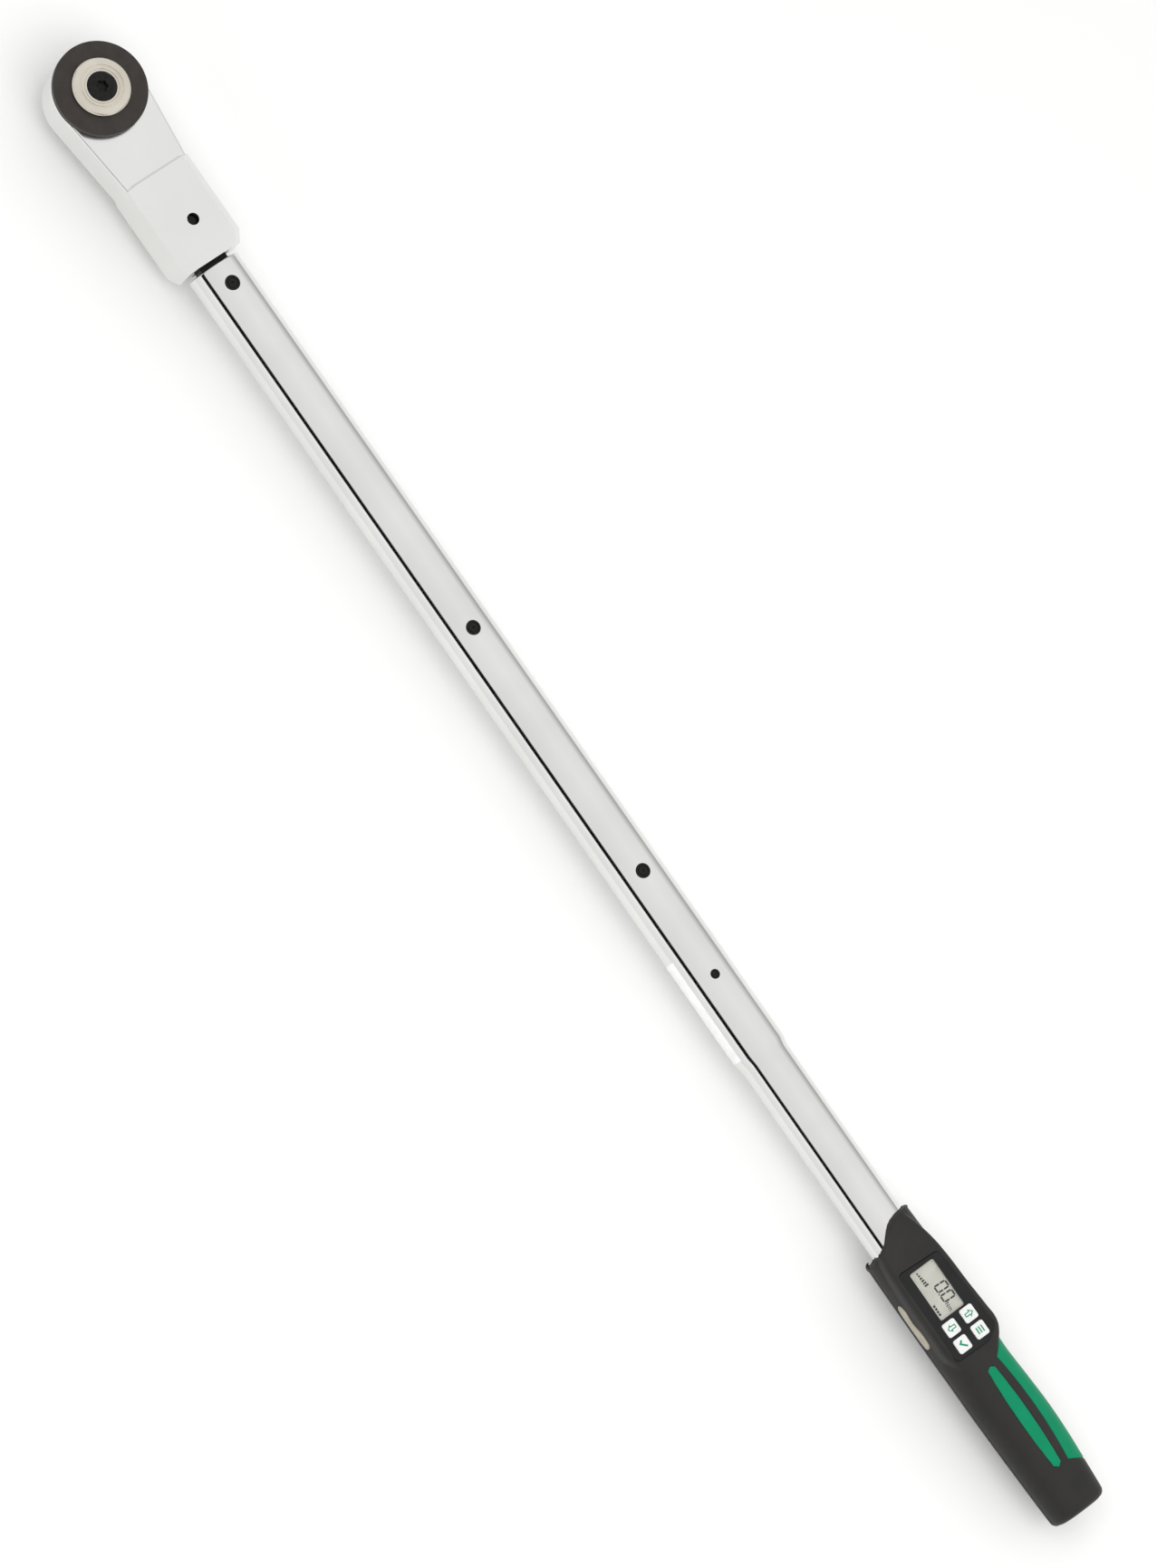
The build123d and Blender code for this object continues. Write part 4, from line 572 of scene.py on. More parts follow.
def form_point(x, phi, upper, inset=0.0):
    """Point on the handle: phi runs from the +Y seam at 0 to the -Y seam at pi, over the top or under."""
    cos, sin = np.cos(phi), np.sin(phi)
    far = cos >= 0
    half = np.where(far, along(GRIP, x, 1), along(GRIP, x, 2))
    height = along(GRIP, x, 3) - SEAM if upper else along(GRIP, x, 4) + SEAM
    radius = reach(cos, sin, half, height, GRIP_SQUARENESS)
    if upper:
        pod_half = np.where(far, along(POD, x, 1), along(POD, x, 2))
        pod = reach(cos, sin, pod_half, along(POD, x, 3) - SEAM, POD_SQUARENESS)
        pod = pod * smooth(sin * 3.5)
        joined = (radius**MERGE + pod**MERGE) ** (1 / MERGE)
        radius = np.minimum(joined, np.maximum(radius, pod) + 0.35)
    # the far end closes in a quarter round
    past = np.clip((x - (HANDLE_END - END_ROUND)) / END_ROUND, 0, 1)
    radius = radius - inset - END_ROUND * (1 - np.sqrt(np.clip(1 - past**2, 0, 1)))
    return np.stack([x + 0 * phi, radius * cos, SEAM + (1 if upper else -1) * radius * sin], -1)


def rim_x(y, phi, upper):
    """Front contour of the shells: by the place across for the upper one, by the angle for the lower."""
    if upper:
        return np.interp(-y, -RIM[:, 0], RIM[:, 1])
    return np.interp(phi, LOWER_RIM[:, 0], LOWER_RIM[:, 1])


def polygon_distance(px, py, outline):
    """Signed distance to a closed outline, negative inside, and the nearest point on it."""
    outline = np.asarray(outline)
    best = np.full(px.shape, np.inf)
    near = np.stack([px, py], -1)
    inside = np.zeros(px.shape, bool)
    for a, b in zip(outline, np.roll(outline, -1, axis=0)):
        edge = b - a
        t = np.clip(((px - a[0]) * edge[0] + (py - a[1]) * edge[1]) / (edge @ edge), 0, 1)
        qx, qy = a[0] + t * edge[0], a[1] + t * edge[1]
        gap = np.hypot(px - qx, py - qy)
        closer = gap < best
        best = np.where(closer, gap, best)
        near = np.where(closer[..., None], np.stack([qx, qy], -1), near)
        crosses = (a[1] > py) != (b[1] > py)
        with np.errstate(divide="ignore", invalid="ignore"):
            inside ^= crosses & (px < (b[0] - a[0]) * (py - a[1]) / (b[1] - a[1]) + a[0])
    return np.where(inside, -best, best), near


SEATED = 0.02  # a point this near a contour lies on it
SEAT_REACH = 0.58  # share of a cell from which points are moved onto a contour
# depth and width of the rolled edge at an opening, a pocket, a loose piece, the parting line and the rim
OPENING_ROLL, POCKET_ROLL, PIECE_ROLL = (0.35, 0.9), (0.25, 0.8), (0.45, 1.1)
SEAM_ROLL, RIM_ROLL = (0.3, 0.8), (0.35, 0.5)
AROUND_RADIUS = 26.0  # turns an angle round the handle into a length


def rolled(gap, roll):
    """Extra inset of a point that lies gap away from a rolled edge."""
    depth, width = roll
    return depth * (1 - smooth(np.maximum(gap, 0) / width))


class Contour:
    """A closed outline on the handle, seen from above ("plan") or from a side ("side")."""

    def __init__(self, outline, view="plan", sign=1):
        self.outline = np.asarray(outline)
        self.view, self.sign = view, sign

    def measure(self, points):
        """Signed distance of points and their nearest places on the outline."""
        second = points[..., 1] if self.view == "plan" else points[..., 2]
        gap, near = polygon_distance(points[..., 0], second, self.outline)
        if self.view == "side":
            wrong = points[..., 1] * self.sign < 8
            gap = np.where(wrong, 99.0, gap)
        return gap, near


def around_samples(upper, cell):
    """Angles round half the handle at even steps along its widest section."""
    fine = np.linspace(0, math.pi, 2000)
    ring = form_point(np.full(2000, 1075.0), fine, upper)
    length = np.concatenate([[0], np.cumsum(np.linalg.norm(np.diff(ring, axis=0), axis=1))])
    count = int(length[-1] / cell)
    return np.interp(np.linspace(0, length[-1], count), length, fine)


def skin_grid(upper, cell, x_start, x_end, phi_range=(0.0, math.pi)):
    """Parameters of a fine grid over the upper or lower half: x and phi arrays."""
    phi = around_samples(upper, cell)
    phi = phi[(phi >= phi_range[0] - 0.02) & (phi <= phi_range[1] + 0.02)]
    x = np.linspace(x_start, x_end, int((x_end - x_start) / cell))
    return np.meshgrid(x, phi, indexing="ij")


def seat_on(x, phi, upper, contour, cell):
    """Moves grid parameters near a contour onto it, so that its line is clean."""
    for _ in range(6):
        points = form_point(x, phi, upper)
        gap, near = contour.measure(points)
        close = np.abs(gap) < SEAT_REACH * cell
        step_x = np.where(close, near[..., 0] - points[..., 0], 0)
        second = 1 if contour.view == "plan" else 2
        tiny = 0.002
        slope = (form_point(x, phi + tiny, upper) - points)[..., second] / tiny
        slope = np.where(np.abs(slope) < 3.0, np.sign(slope) * 3.0 + (slope == 0) * 3.0, slope)
        step_phi = np.where(close, (near[..., 1] - points[..., second]) / slope, 0)
        x, phi = x + step_x, phi + np.clip(step_phi, -0.04, 0.04)
    return x, phi


def grid_mesh(points, keep, gaps):
    """Faces of a grid whose corners are kept; quads on a contour are split so that its line stays whole."""
    rows, columns = points.shape[:2]
    index = np.arange(rows * columns).reshape(rows, columns)
    faces = []
    a, b, c, d = index[:-1, :-1], index[1:, :-1], index[1:, 1:], index[:-1, 1:]
    flat = gaps.reshape(-1)
    flat_keep = keep.reshape(-1)
    for q in np.stack([a, b, c, d], -1).reshape(-1, 4):
        if not flat_keep[q].any():
            continue
        zero = np.abs(flat[q]) < SEATED
        if flat_keep[q].all():
            if zero[1] and zero[3]:
                faces += [(q[0], q[1], q[3]), (q[1], q[2], q[3])]
            elif zero.any():
                faces += [(q[0], q[1], q[2]), (q[0], q[2], q[3])]
            else:
                faces.append(tuple(q))
            continue
        kept = q[flat_keep[q]]
        if len(kept) == 3:
            faces.append(tuple(kept))
    return [tuple(int(i) for i in face) for face in faces]


def walled(outer, inner, faces):
    """A closed wall: the outer skin, the inner skin and the strips that join their edges."""
    count = len(outer)
    edges = {(a, b) for face in faces for a, b in zip(face, face[1:] + face[:1])}
    rims = [(b, a, count + a, count + b) for a, b in sorted(edges) if (b, a) not in edges]
    inside = [tuple(count + i for i in reversed(face)) for face in faces]
    return np.concatenate([outer, inner]), faces + inside + rims


END_SHARES = (0.97, 0.85, 0.6, 0.3, 0.02)
END_ROWS = len(END_SHARES)


def end_cap(points):
    """The rows that close the handle's end, from its last row in to the middle."""
    last = points[-1]
    rows = []
    for share in END_SHARES:
        row = last.copy()
        row[:, 1] *= share
        row[:, 2] = SEAM + (row[:, 2] - SEAM) * share
        rows.append(row)
    return np.concatenate([points, rows])


def skin(name, upper, finish, cell, x_start, x_end, openings=(), pockets=(), inside=None, lift=0.0,
         thickness=2.2, phi_range=(0.0, math.pi), ring=True):
    """A piece of the handle's skin: openings cut through, pockets sunk in, or what lies inside a contour."""
    x, phi = skin_grid(upper, cell, x_start, x_end, phi_range)
    if ring:
        y = form_point(x, phi, upper)[..., 1]
        back = rim_x(y, phi, upper) - HANDLE_START
        x = x + back * (1 - smooth((x - HANDLE_START) / RIM_FADE))
    outlines = list(openings) + [p[0] for p in pockets] + ([inside] if inside else [])
    for contour in outlines:
        x, phi = seat_on(x, phi, upper, contour, cell)
    plain = form_point(x, phi, upper)
    keep = np.ones(x.shape, bool)
    zero = np.full(x.shape, 9.0)
    inset = np.full(x.shape, -lift)
    for contour in openings:
        gap, _ = contour.measure(plain)
        keep &= gap > -SEATED
        zero = np.where(np.abs(gap) < np.abs(zero), gap, zero)
        inset = inset + rolled(gap, OPENING_ROLL)
    for contour, depth in pockets:
        gap, _ = contour.measure(plain)
        inset = inset + np.where(gap < -0.12, depth, rolled(gap, POCKET_ROLL))
    if inside:
        gap, _ = inside.measure(plain)
        keep &= gap < SEATED
        zero = np.where(np.abs(gap) < np.abs(zero), gap, zero)
        inset = inset + rolled(-gap, PIECE_ROLL)
    else:
        # soft edge along the parting line, and a raised lip round the front
        inset = inset + rolled(np.minimum(phi, math.pi - phi) * AROUND_RADIUS, SEAM_ROLL)
        if ring:
            front = x - rim_x(plain[..., 1], phi, upper)
            inset = inset - LIP * smooth(front / 0.7) * (1 - smooth((front - LIP_WIDTH) / 0.8))
            inset = inset + rolled(front, RIM_ROLL)
    skins = [form_point(x, phi, upper, inset), form_point(x, phi, upper, inset + thickness)]
    if ring:
        skins = [end_cap(points) for points in skins]
        skins[1][-END_ROWS - 1:, :, 0] -= thickness
        keep, zero = (np.pad(a, ((0, END_ROWS), (0, 0)), mode="edge") for a in (keep, zero))
    for points in skins:
        if not inside:
            points[..., 2] += (1 if upper else -1) * settings("handle").seam_gap / 2
        points[..., 2] += AXIS_Z
    faces = grid_mesh(skins[0], keep, zero)
    if not upper:
        faces = [tuple(reversed(face)) for face in faces]
    piece = make_object(name, *walled(*(points.reshape(-1, 3) for points in skins), faces), finish, 40)
    clear_loose(piece)
    return piece


def clear_loose(piece):
    """Drops points that no face uses and slivers that the contours leave."""
    work = bmesh.new()
    work.from_mesh(piece.data)
    bmesh.ops.delete(work, geom=[v for v in work.verts if not v.link_faces], context="VERTS")
    bmesh.ops.dissolve_degenerate(work, dist=0.02 * MM, edges=work.edges)
    bmesh.ops.recalc_face_normals(work, faces=work.faces)
    work.to_mesh(piece.data)
    work.free()
    shade(piece.data, 40)


LIP, LIP_WIDTH = 0.7, 1.8
BEZEL_CORNERS = [(1041, -20.1), (1117.8, -20.1), (1118.6, 12), (1111, 21.9), (1043.2, 17.6)]
BEZEL_CORNER_RADIUS = 3.5


def lens(x0, x1, y_end, y_middle):
    """The top inlay's outline: a long leaf with short pointed ends."""
    xs = np.linspace(x0 + 2.2, x1 - 2.6, 40)
    t = (xs - xs[0]) / (xs[-1] - xs[0]) * 2 - 1
    upper = y_end + (y_middle - y_end) * (1 - t**2)
    low = np.stack([xs, -upper], -1)
    high = np.stack([xs[::-1], upper[::-1]], -1)
    return np.concatenate([low, [(x1, 0)], high, [(x0, 0)]])


def side_band():
    """The side inlay's outline in plan: bowed inner edge, raked ends, out past the widest place."""
    xs = np.linspace(1131.5, 1223.0, 40)
    t = (xs - xs[0]) / (xs[-1] - xs[0]) * 2 - 1
    inner = np.stack([xs, 9.2 + 3.3 * (1 - t**2)], -1)
    return np.concatenate([inner, [(1238.5, 40), (1108, 40)]])


def circle(x, y, radius, steps=24):
    """A circular outline."""
    return [
        (x + radius * math.cos(2 * math.pi * i / steps), y + radius * math.sin(2 * math.pi * i / steps))
        for i in range(steps)
    ]


TOP_POCKET, TOP_INLAY = Contour(lens(1133.8, 1223.8, 4.0, 5.9)), Contour(lens(1134.4, 1223.2, 3.5, 5.3))
SIDE_POCKET, SIDE_INLAY = Contour(side_band()), Contour(shifted(side_band(), -0.55))
PORT_LOW, PORT_HIGH = box_mm("port_cover")
DOOR_LOW, DOOR_HIGH = box_mm("battery_cover")


PORT_FORM = (  # upper and lower edge of the port cover along its length, in shares of its box
    (0.0, 0.5, 0.42), (0.02, 0.68, 0.28), (0.06, 0.80, 0.14), (0.13, 0.88, 0.05), (0.22, 0.88, 0.0),
    (0.33, 0.80, 0.0), (0.43, 0.78, 0.0), (0.53, 0.86, 0.0), (0.64, 0.96, 0.0), (0.75, 1.0, 0.0),
    (0.86, 0.98, 0.02), (0.94, 0.90, 0.08), (0.985, 0.74, 0.2), (1.0, 0.55, 0.38),
)


def port_outline(grow=0.0):
    """The port cover from the side: a long bar with round ends and a waist."""
    low, size = PORT_LOW[[0, 2]] - (0, AXIS_Z), (PORT_HIGH - PORT_LOW)[[0, 2]]
    under = [(along, below) for along, above, below in PORT_FORM]
    over = [(along, above) for along, above, below in reversed(PORT_FORM)]
    return shifted([low + size * place for place in under + over], grow)


# ---- operators ----


class BuildStep(bpy.types.Operator):
    """Common part of the steps that build the wrench."""

    bl_options = {"REGISTER", "UNDO"}

    def execute(self, context):
        self.build()
        return {"FINISHED"}


# the pins across the tube: place along it and radius of their hole
PIN_HOLES = ((170.7, 5.85), (477.3, 5.7), (693.4, 5.7), (785.2, 3.7))


def tube_share(x):
    """Size of the tube's section at x, as a share of its full size."""
    return 1 - (1 - THIN_SHARE) * float(smooth((x - NECK_START) / (NECK_END - NECK_START)))


def drill(piece, x, radius):
    """Bores a round hole up through the tube, so that a pin's recessed end shows the pin and not the tube."""
    work = bmesh.new()
    wide, deep = radius * MM, 4 * TUBE_HALF_HEIGHT * MM
    bmesh.ops.create_cone(work, cap_ends=True, segments=96, radius1=wide, radius2=wide, depth=deep)
    bmesh.ops.translate(work, verts=work.verts, vec=(x * MM, 0, AXIS_Z * MM))
    mesh = bpy.data.meshes.new("drill")
    work.to_mesh(mesh)
    work.free()
    cutter = bpy.data.objects.new("drill", mesh)
    bpy.context.scene.collection.objects.link(cutter)
    hole = piece.modifiers.new("hole", "BOOLEAN")
    hole.operation, hole.object, hole.solver = "DIFFERENCE", cutter, "EXACT"
    apply_modifiers(piece, 40)
    bpy.data.objects.remove(cutter)


class WRENCH_OT_tube(BuildStep):
    """Builds the oval tube with its necked-down step"""

    bl_idname = "wrench.tube"
    bl_label = "Tube"

    def build(self):
        steps = settings("tube").steps
        start, end = TUBE_LOW[0], HANDLE_START + 32
        mouth = settings("tube").mouth_round
        xs = [start + mouth * (1 - math.cos(a)) for a in np.linspace(0, math.pi / 2, 6)]
        xs += list(np.linspace(start + 4, NECK_START - 16, 40))
        xs += list(np.linspace(NECK_START - 14, NECK_END + 12, 72))
        xs += list(np.linspace(NECK_END + 16, end, 12))
        angles = np.linspace(0, 2 * math.pi, steps, endpoint=False)
        rings = []
        for x in xs:
            share = tube_share(x)
            # the forming rolls leave slight waves before the step
            wave = 0.05 * math.exp(-(((x - NECK_START + 1.5) / 3.2) ** 2))
            rim = mouth - math.sqrt(max(mouth**2 - max(mouth - (x - start), 0) ** 2, 0))
            a, b = TUBE_HALF_WIDTH * share - rim + wave, TUBE_HALF_HEIGHT * share - rim + wave
            rings.append([(x, a * math.cos(t), AXIS_Z + b * math.sin(t)) for t in angles])
        for x in xs[::-1]:
            share = tube_share(x)
            a, b = TUBE_HALF_WIDTH * share - TUBE_WALL, TUBE_HALF_HEIGHT * share - TUBE_WALL
            rings.append([(x, a * math.cos(t), AXIS_Z + b * math.sin(t)) for t in angles])
        piece = make_object("oval_tube", np.concatenate(rings), ring_faces(len(rings), steps), "tube", 40)
        for x, radius in PIN_HOLES:
            drill(piece, x, radius)
        place(piece, "tube_and_handle", "chromed_tube", "tube")


class WRENCH_OT_handle(BuildStep):
    """Builds the two moulded shells, their inlays, the port cover and the battery cover"""

    bl_idname = "wrench.handle"
    bl_label = "Handle"

    def build(self):
        cell, wall = settings("handle").cell, settings("handle").wall
        bezel_hole = Contour(rounded(shifted(BEZEL_CORNERS, 0.35), BEZEL_CORNER_RADIUS))
        port_hole = Contour(port_outline(0.3), "side", -1)
        upper = skin(
            "upper_shell", True, "shell", cell, HANDLE_START, HANDLE_END,
            openings=(bezel_hole, port_hole), pockets=((TOP_POCKET, 1.2), (SIDE_POCKET, 1.2)), thickness=wall,
        )
        place(upper, "tube_and_handle", "handle_grey", "handle_shell_upper")
        door = Contour(rounded(rectangle(DOOR_LOW[0], DOOR_HIGH[0], DOOR_LOW[1], DOOR_HIGH[1]), 2.5))
        door_hole = Contour(
            rounded(shifted(rectangle(DOOR_LOW[0], DOOR_HIGH[0], DOOR_LOW[1], DOOR_HIGH[1]), 0.35), 2.85)
        )
        screws = [Contour(circle(x, y, 3.3)) for x, y in ((1030, 0), (1138, 0), (1247, 11), (1247, -11))]
        lower = skin(
            "lower_shell", False, "shell", cell, HANDLE_START, HANDLE_END, openings=[door_hole] + screws,
            thickness=wall,
        )
        place(lower, "tube_and_handle", "handle_grey", "handle_shell_lower")
        top = skin("top_inlay", True, "inlay", cell, 1128, 1230, inside=TOP_INLAY, lift=0.12, thickness=1.0,
                   phi_range=(1.0, 2.1), ring=False)
        place(top, "tube_and_handle", "inlay_green", "inlay_top")
        side = skin("side_inlay", True, "inlay", cell, 1116, 1238, inside=SIDE_INLAY, lift=0.12,
                    thickness=1.0, phi_range=(0.12, 1.4), ring=False)
        place(side, "tube_and_handle", "inlay_green", "inlay_side")
        port = skin("port_cover_moulding", True, "port", 0.5, PORT_LOW[0] - 4, PORT_HIGH[0] + 4,
                    inside=Contour(port_outline(), "side", -1), lift=0.1, thickness=1.7,
                    phi_range=(2.4, math.pi), ring=False)
        place(port, "port_flap", "port_beige", "port_cover")
        cover = skin("battery_door_moulding", False, "shell", cell, DOOR_LOW[0] - 4, DOOR_HIGH[0] + 4,
                     inside=door, lift=0.0, thickness=2.0, phi_range=(0.6, 2.6), ring=False)
        place(cover, "battery_door", "handle_grey", "battery_cover")


SEGMENTS = {  # the seven bars of a digit: is it lying, and where, in shares of the digit's box
    "top": (True, 0.0, 1.0), "middle": (True, 0.0, 0.5), "bottom": (True, 0.0, 0.0),
    "upper_left": (False, 0.0, 0.75), "upper_right": (False, 1.0, 0.75),
    "lower_left": (False, 0.0, 0.25), "lower_right": (False, 1.0, 0.25),
}


def digit_bars(x, y, width, height, bar, lean, names):
    """Outlines of the lit bars of a seven-segment digit that reads along +X with its top at +Y."""
    outlines = []
    for name in names:
        lying, across, up = SEGMENTS[name]
        gap = 0.12 * bar
        if lying:
            x0, x1 = x + bar * 0.5 + gap, x + width - bar * 0.5 - gap
            yc = y + bar / 2 + up * (height - bar)
            shape = [(x0, yc), (x0 + bar / 2, yc - bar / 2), (x1 - bar / 2, yc - bar / 2), (x1, yc),
                     (x1 - bar / 2, yc + bar / 2), (x0 + bar / 2, yc + bar / 2)]
        else:
            xc = x + bar / 2 + across * (width - bar)
            half = (height - bar) / 2
            y0 = y + bar / 2 + (half if up > 0.5 else 0) + gap
            y1 = y0 + half - 2 * gap
            shape = [(xc, y0), (xc + bar / 2, y0 + bar / 2), (xc + bar / 2, y1 - bar / 2), (xc, y1),
                     (xc - bar / 2, y1 - bar / 2), (xc - bar / 2, y0 + bar / 2)]
        outlines.append([(px + lean * (py - y), py) for px, py in shape])
    return outlines


ZERO = ("top", "bottom", "upper_left", "upper_right", "lower_left", "lower_right")


class WRENCH_OT_display(BuildStep):
    """Builds the display bezel, the display's segments and the four marked keys"""

    bl_idname = "wrench.display"
    bl_label = "Display and keys"

    def build(self):
        low, high = BEZEL_LOW[2], BEZEL_HIGH[2]
        keys = {name: self.cap_box(name) for name in ("key_up", "key_menu", "key_down", "key_enter")}
        holes = [rounded(shifted(rectangle(LCD_LOW[0], LCD_HIGH[0], LCD_LOW[1], LCD_HIGH[1]), 0.15), 1.6)]
        for key_low, key_high in keys.values():
            corners = shifted(rectangle(key_low[0], key_high[0], key_low[1], key_high[1]), 0.3)
            holes.append(rounded(corners, 2.0))
        bezel = plate("bezel_plate", [rounded(BEZEL_CORNERS, BEZEL_CORNER_RADIUS)] + holes, low, high, 0.3,
                      "bezel", holes=True)
        place(bezel, "tube_and_handle", "bezel_black", "display_bezel")
        for name, (key_low, key_high) in keys.items():
            outline = rounded(rectangle(key_low[0], key_high[0], key_low[1], key_high[1]), 1.8)
            body = name.replace("key_", "") + "_button"
            cap = plate(name + "_cap", [outline], key_low[2], key_high[2], 0.55, "key")
            place(cap, body, "key_white", name)
            middle = (key_low + key_high) / 2
            marks = [[(middle[0] + px, middle[1] + py) for px, py in mark] for mark in KEY_MARKS[name]]
            glyph = plate(name + "_mark", marks, key_high[2] - 0.02, key_high[2] + 0.04, 0.01, "print",
                          holes=name in ("key_up", "key_down"))
            place(glyph, body, "inlay_green")
        self.segments()

    def cap_box(self, name):
        """The part of a key that shows, which stands on its wider flange."""
        key_low, key_high = box_mm(name)
        middle, half = (key_low + key_high) / 2, np.array(KEY_SIZE) / 2
        return np.append(middle[:2] - half, key_low[2]), np.append(middle[:2] + half, key_high[2])

    def segments(self):
        """Lit segments: a reading of zero, its unit, and plain symbols in place of words."""
        base = box_mm("lcd_module")[1][2]
        left, low = LCD_LOW[0], LCD_LOW[1]
        digits = []
        for x in (16.9, 25.0):
            digits += digit_bars(left + x, low + 10.4, 6.6, 11.4, 1.35, 0.05, ZERO)
        point = rectangle(left + 23.8, left + 24.8, low + 10.4, low + 11.4)
        unit = [[(left + 32.2 + px, low + 10.4 + py) for px, py in letter] for letter in UNIT]
        level = [rectangle(left + 2.0 + 2.1 * i, left + 3.4 + 2.1 * i, low + 5.4, low + 6.6 + 0.45 * i)
                 for i in range(6)]
        cell = [rectangle(left + 28.2 + 2.4 * i, left + 30.0 + 2.4 * i, low + 1.6, low + 3.4)
                for i in range(4)]
        marks = digits + [point] + unit + level + cell
        piece = plate("display_segments", marks, base + 0.02, base + 0.1, 0.01, "segment")
        place(piece, "tube_and_handle", "lcd")


# the letters N and m of the torque unit, in millimetres
UNIT = (
    [(0, 0), (0.5, 0), (0.5, 2.6), (2.0, 0), (2.5, 0), (2.5, 3.4), (2.0, 3.4), (2.0, 0.8), (0.5, 3.4),
     (0, 3.4)],
    [(3.3, 0), (3.75, 0), (3.75, 1.9), (4.6, 1.9), (4.6, 0), (5.05, 0), (5.05, 1.9), (5.9, 1.9), (5.9, 0),
     (6.35, 0), (6.35, 2.1), (6.05, 2.4), (3.3, 2.4)],
)


KEY_SIZE = (11.6, 11.6)
ARROW = np.array([(-1.5, -3.7), (1.5, -3.7), (1.5, 0.2), (3.2, 0.2), (0, 3.9), (-3.2, 0.2), (-1.5, 0.2)])
KEY_MARKS = {  # the printed marks, about each key's middle
    "key_up": [ARROW, shifted(ARROW, -0.75)],
    "key_down": [ARROW * (1, -1), shifted(ARROW * (1, -1), -0.75)],
    "key_menu": [rectangle(-2.7, 2.7, y - 0.55, y + 0.55) for y in (-2.3, 0.0, 2.3)],
    "key_enter": [[(-3.5, 0.0), (-2.5, 1.1), (-0.9, -0.6), (2.6, 3.1), (3.6, 2.1), (-0.9, -2.7)]],
}

# finish of every CAD node that stays visible or shows when a cover is open
NODE_FINISHES = {
    "ground": ("drive_spindle", "rocker_pawl", "anvil_ball", "dial_detent_ball", "pawl_pin", "selector_pin",
               "solenoid_plunger", "spacer_rod"),
    "forging": ("head_body", "gear_cover"),
    "black_oxide": ("bending_lever", "hub_screw", "cover_screws", "housing_screws", "pivot_pin", "anchor_pins",
                    "guide_pin", "lock_plunger", "release_latch", "anchor_block"),
    "wire": ("anvil_spring", "dial_detent_spring", "lock_spring", "return_springs", "plunger_spring",
             "battery_contacts"),
    "copper": ("solenoid_coil",),
    "bronze": ("pivot_bushes",),
    "board": ("main_board", "strain_gauges"),
    "epoxy": ("board_components", "buzzer", "solenoid_body", "usb_socket", "cable_guide", "signal_cable"),
    "nitrile": ("spindle_seal", "key_mat"),
    "display": ("lcd_module",),
    "label": ("range_label",),
    "window": ("lcd_window",),
    "battery": ("batteries",),
}


DIAL_LOW, DIAL_HIGH = box_mm("reversing_dial")
HUB_LOW, HUB_HIGH = box_mm("dial_hub")
CAP_LOW, CAP_HIGH = box_mm("hub_screw")


def arc(centre, radius, start, end, steps=6):
    """Points of an arc in a lathe profile, angles in degrees from outwards to upwards."""
    return [
        (centre[0] + radius * math.cos(math.radians(a)), centre[1] + radius * math.sin(math.radians(a)))
        for a in np.linspace(start, end, steps)
    ]


class WRENCH_OT_metalwork(BuildStep):
    """Builds the reversing dial and the turned hub, with the small round edges that catch light"""

    bl_idname = "wrench.metalwork"
    bl_label = "Dial and hub"

    def build(self):
        self.dial()
        self.hub()

    def dial(self):
        """The moulded dial: a flat ring with a rolled rim."""
        inner = 15.2
        radius = (DIAL_HIGH[0] - DIAL_LOW[0]) / 2
        low, high = DIAL_LOW[2], DIAL_HIGH[2]
        rim = 0.8
        profile = [(inner, low)] + arc((radius - rim, low + rim), rim, -90, 0)
        profile += arc((radius - rim, high - rim), rim, 0, 90)
        profile += [(inner + 0.7, high), (inner, high - 0.4)]
        piece = lathe("dial_moulding", profile, "dial")
        place(piece, "dial", "dial_black", "reversing_dial")

    def hub(self):
        """The turned hub: chamfered rim, a groove and a shallow step round the screw."""
        bore = (CAP_HIGH[0] - CAP_LOW[0]) / 2 + 0.08
        radius = (HUB_HIGH[0] - HUB_LOW[0]) / 2
        top, under, stem = HUB_HIGH[2], DIAL_HIGH[2] + 0.1, 14.9
        edge, ring, groove = 0.35, 0.45, 0.5
        profile = [(bore, HUB_LOW[2]), (stem, HUB_LOW[2]), (stem, under), (radius - 0.3, under)]
        profile += arc((radius - edge, under + 0.6), edge, -45, 0, 3)
        profile += arc((radius - edge, top - 1.35), edge, 0, 45, 4)
        profile += arc((radius - 1.35, top - edge), edge, 45, 90, 4)
        for outer, inner in ((16.5, 15.2), (13.4, 12.9)):
            profile += [(outer + 0.12, top), (outer, top - 0.12), (outer - 0.1, top - groove)]
            profile += [(inner + 0.1, top - groove), (inner, top - 0.12), (inner - 0.12, top)]
        profile += [(bore + ring, top), (bore, top - ring)]
        piece = lathe("turned_hub", profile, "turned")
        place(piece, "drive", "turned_steel", "dial_hub")


class WRENCH_OT_finishes(BuildStep):
    """Gives every remaining CAD node its finish"""

    bl_idname = "wrench.finishes"
    bl_label = "Finishes"

    def build(self):
        painted = set()
        for finish, nodes in NODE_FINISHES.items():
            for name in nodes:
                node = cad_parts[name]
                if not node.material_slots:
                    node.data.materials.append(None)
                for material_slot in node.material_slots:
                    material_slot.material = finish_named(finish)
                painted.add(name)
        left = [n for n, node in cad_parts.items() if n not in painted and not node.hide_render]
        if left:
            raise RuntimeError("CAD nodes without a finish: " + ", ".join(sorted(left)))


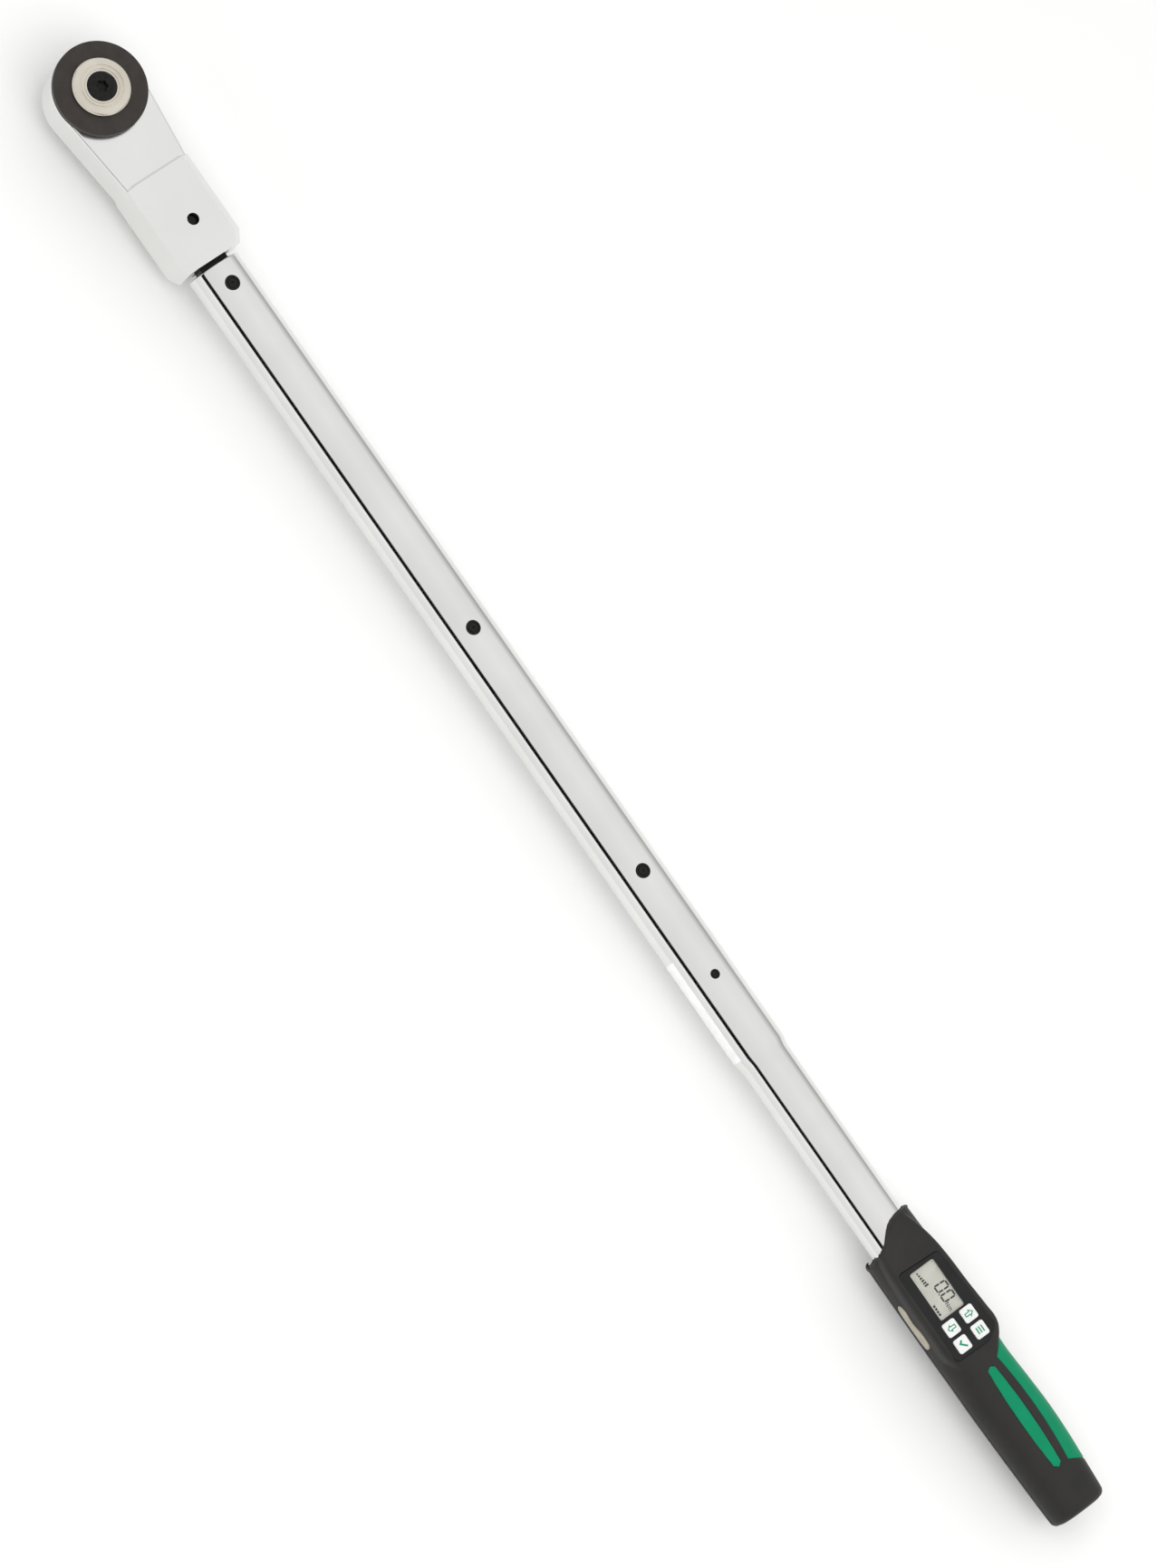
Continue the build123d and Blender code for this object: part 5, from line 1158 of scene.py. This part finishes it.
class WRENCH_OT_stage(BuildStep):
    """Sets up the floor, the soft light and the camera"""

    bl_idname = "wrench.stage"
    bl_label = "Stage"

    def build(self):
        self.floor()
        self.sky()
        self.light()
        self.camera()
        bpy.context.scene.view_settings.view_transform = "Standard"

    def floor(self):
        """A plain pale floor under the whole tool."""
        mesh = bpy.data.meshes.new("floor")
        reach_out = 9.0
        mesh.from_pydata(
            [(-reach_out, -reach_out, 0), (reach_out, -reach_out, 0), (reach_out, reach_out, 0),
             (-reach_out, reach_out, 0)], [], [(0, 1, 2, 3)]
        )
        floor = bpy.data.objects.new("floor", mesh)
        floor.location.z = CAD_BOX[0][2] - 0.0005
        bpy.context.scene.collection.objects.link(floor)
        material, shader = new_material("matt_paper_floor", {"Roughness": 0.9, "Specular IOR Level": 0.1})
        shader.inputs["Base Color"].default_value = linear(settings("stage").floor)
        mesh.materials.append(material)

    def sky(self):
        """A white tent with a dark slit along the tool and dimmer sides."""
        world = bpy.data.worlds.new("tent")
        bpy.context.scene.world = world
        world.use_nodes = True
        place_node = add_node(world, "ShaderNodeTexCoord").outputs["Generated"]
        split = add_node(world, "ShaderNodeSeparateXYZ", {}, [("Vector", place_node)])
        turned = add_node(world, "ShaderNodeMath", {1: -1.0}, [(0, split.outputs["Y"])], operation="MULTIPLY")
        angle = add_node(
            world, "ShaderNodeMath", {}, [(0, turned.outputs[0]), (1, split.outputs["Z"])],
            operation="ARCTAN2",
        )
        share = add_node(
            world, "ShaderNodeMapRange", {"From Min": -math.pi, "From Max": math.pi},
            [("Value", angle.outputs[0])],
        )
        ramp = add_node(world, "ShaderNodeValToRGB", {}, [("Fac", share.outputs["Result"])])
        stops = ramp.color_ramp.elements
        while len(stops) > 1:
            stops.remove(stops[-1])
        stops[0].position = 0.0
        stops[0].color = (0.3, 0.3, 0.3, 1)
        for degrees, grey in SKY:
            stop = stops.new((degrees + 180) / 360)
            stop.color = (grey, grey, grey, 1)
        background = world.node_tree.nodes["Background"]
        world.node_tree.links.new(ramp.outputs["Color"], background.inputs["Color"])
        background.inputs["Strength"].default_value = 1.0

    def light(self):
        """One large soft light high over the near side."""
        lamp = bpy.data.lights.new("softbox", "AREA")
        lamp.shape = "RECTANGLE"
        lamp.size, lamp.size_y = 2.4, 1.2
        lamp.energy = 21
        softbox = bpy.data.objects.new("softbox", lamp)
        softbox.location = (0.9, -0.5, 2.2)
        softbox.visible_glossy = False
        aim = Vector((0.65, 0, 0.04)) - softbox.location
        softbox.rotation_euler = aim.to_track_quat("-Z", "Y").to_euler()
        bpy.context.scene.collection.objects.link(softbox)

    def camera(self):
        """A long lens that looks down on the tool, which lies across the frame's diagonal."""
        tilt, slope = settings("stage").tilt, settings("stage").slope
        along_tool = Vector((1, 0, 0))
        across = Vector((0, -math.cos(tilt), -math.sin(tilt)))
        towards = Vector((0, -math.sin(tilt), math.cos(tilt)))
        right = math.cos(slope) * along_tool - math.sin(slope) * across
        up = -math.sin(slope) * along_tool - math.cos(slope) * across
        spot = Vector(AIM) + towards * settings("stage").distance
        turn = Matrix((right, up, towards)).transposed().to_4x4()
        data = bpy.data.cameras.new("camera")
        data.sensor_fit = "VERTICAL"
        data.sensor_height = 36
        data.lens = 36 * settings("stage").distance / VIEW_HEIGHT
        data.dof.use_dof = False
        camera = bpy.data.objects.new("camera", data)
        camera.matrix_world = Matrix.Translation(spot) @ turn
        bpy.context.scene.collection.objects.link(camera)
        bpy.context.scene.camera = camera


# brightness of the tent by angle from straight up towards the near side, in degrees
SKY = (
    (-120, 0.35), (-85, 0.5), (-60, 0.95), (-20, 1.0), (20, 0.93), (38, 0.93), (39.5, 0.0), (52, 0.0),
    (53.5, 1.15), (66, 1.0), (90, 0.95), (120, 0.3),
)
AIM = (0.6147, 0.0034, 0.041)  # the middle of the view
VIEW_HEIGHT = 1.146  # height of the view at the tool, in metres

GROUPS = (
    ("head", HeadSettings), ("tube", TubeSettings), ("handle", HandleSettings), ("stage", StageSettings),
)
STEPS = (
    WRENCH_OT_metalwork, WRENCH_OT_tube, WRENCH_OT_handle, WRENCH_OT_display, WRENCH_OT_finishes,
    WRENCH_OT_stage,
)


class WRENCH_PT_panel(bpy.types.Panel):
    """Settings and steps of the wrench"""

    bl_label = "Torque wrench"
    bl_space_type = "VIEW_3D"
    bl_region_type = "UI"
    bl_category = "Wrench"

    def draw(self, context):
        for name, group in GROUPS:
            box = self.layout.box()
            box.label(text=name.capitalize())
            for prop in group.__annotations__:
                box.prop(getattr(context.scene, "wrench_" + name), prop)
        for step in STEPS:
            self.layout.operator(step.bl_idname)


def register():
    for name, group in GROUPS:
        bpy.utils.register_class(group)
        setattr(bpy.types.Scene, "wrench_" + name, bpy.props.PointerProperty(type=group))
    for step in STEPS:
        bpy.utils.register_class(step)
    bpy.utils.register_class(WRENCH_PT_panel)


def unregister():
    bpy.utils.unregister_class(WRENCH_PT_panel)
    for step in reversed(STEPS):
        bpy.utils.unregister_class(step)
    for name, group in reversed(GROUPS):
        delattr(bpy.types.Scene, "wrench_" + name)
        bpy.utils.unregister_class(group)


def main():
    """Builds the whole wrench."""
    register()
    bpy.ops.wrench.metalwork()
    bpy.ops.wrench.tube()
    bpy.ops.wrench.handle()
    bpy.ops.wrench.display()
    bpy.ops.wrench.finishes()
    bpy.ops.wrench.stage()


if __name__ == "__main__":
    main()
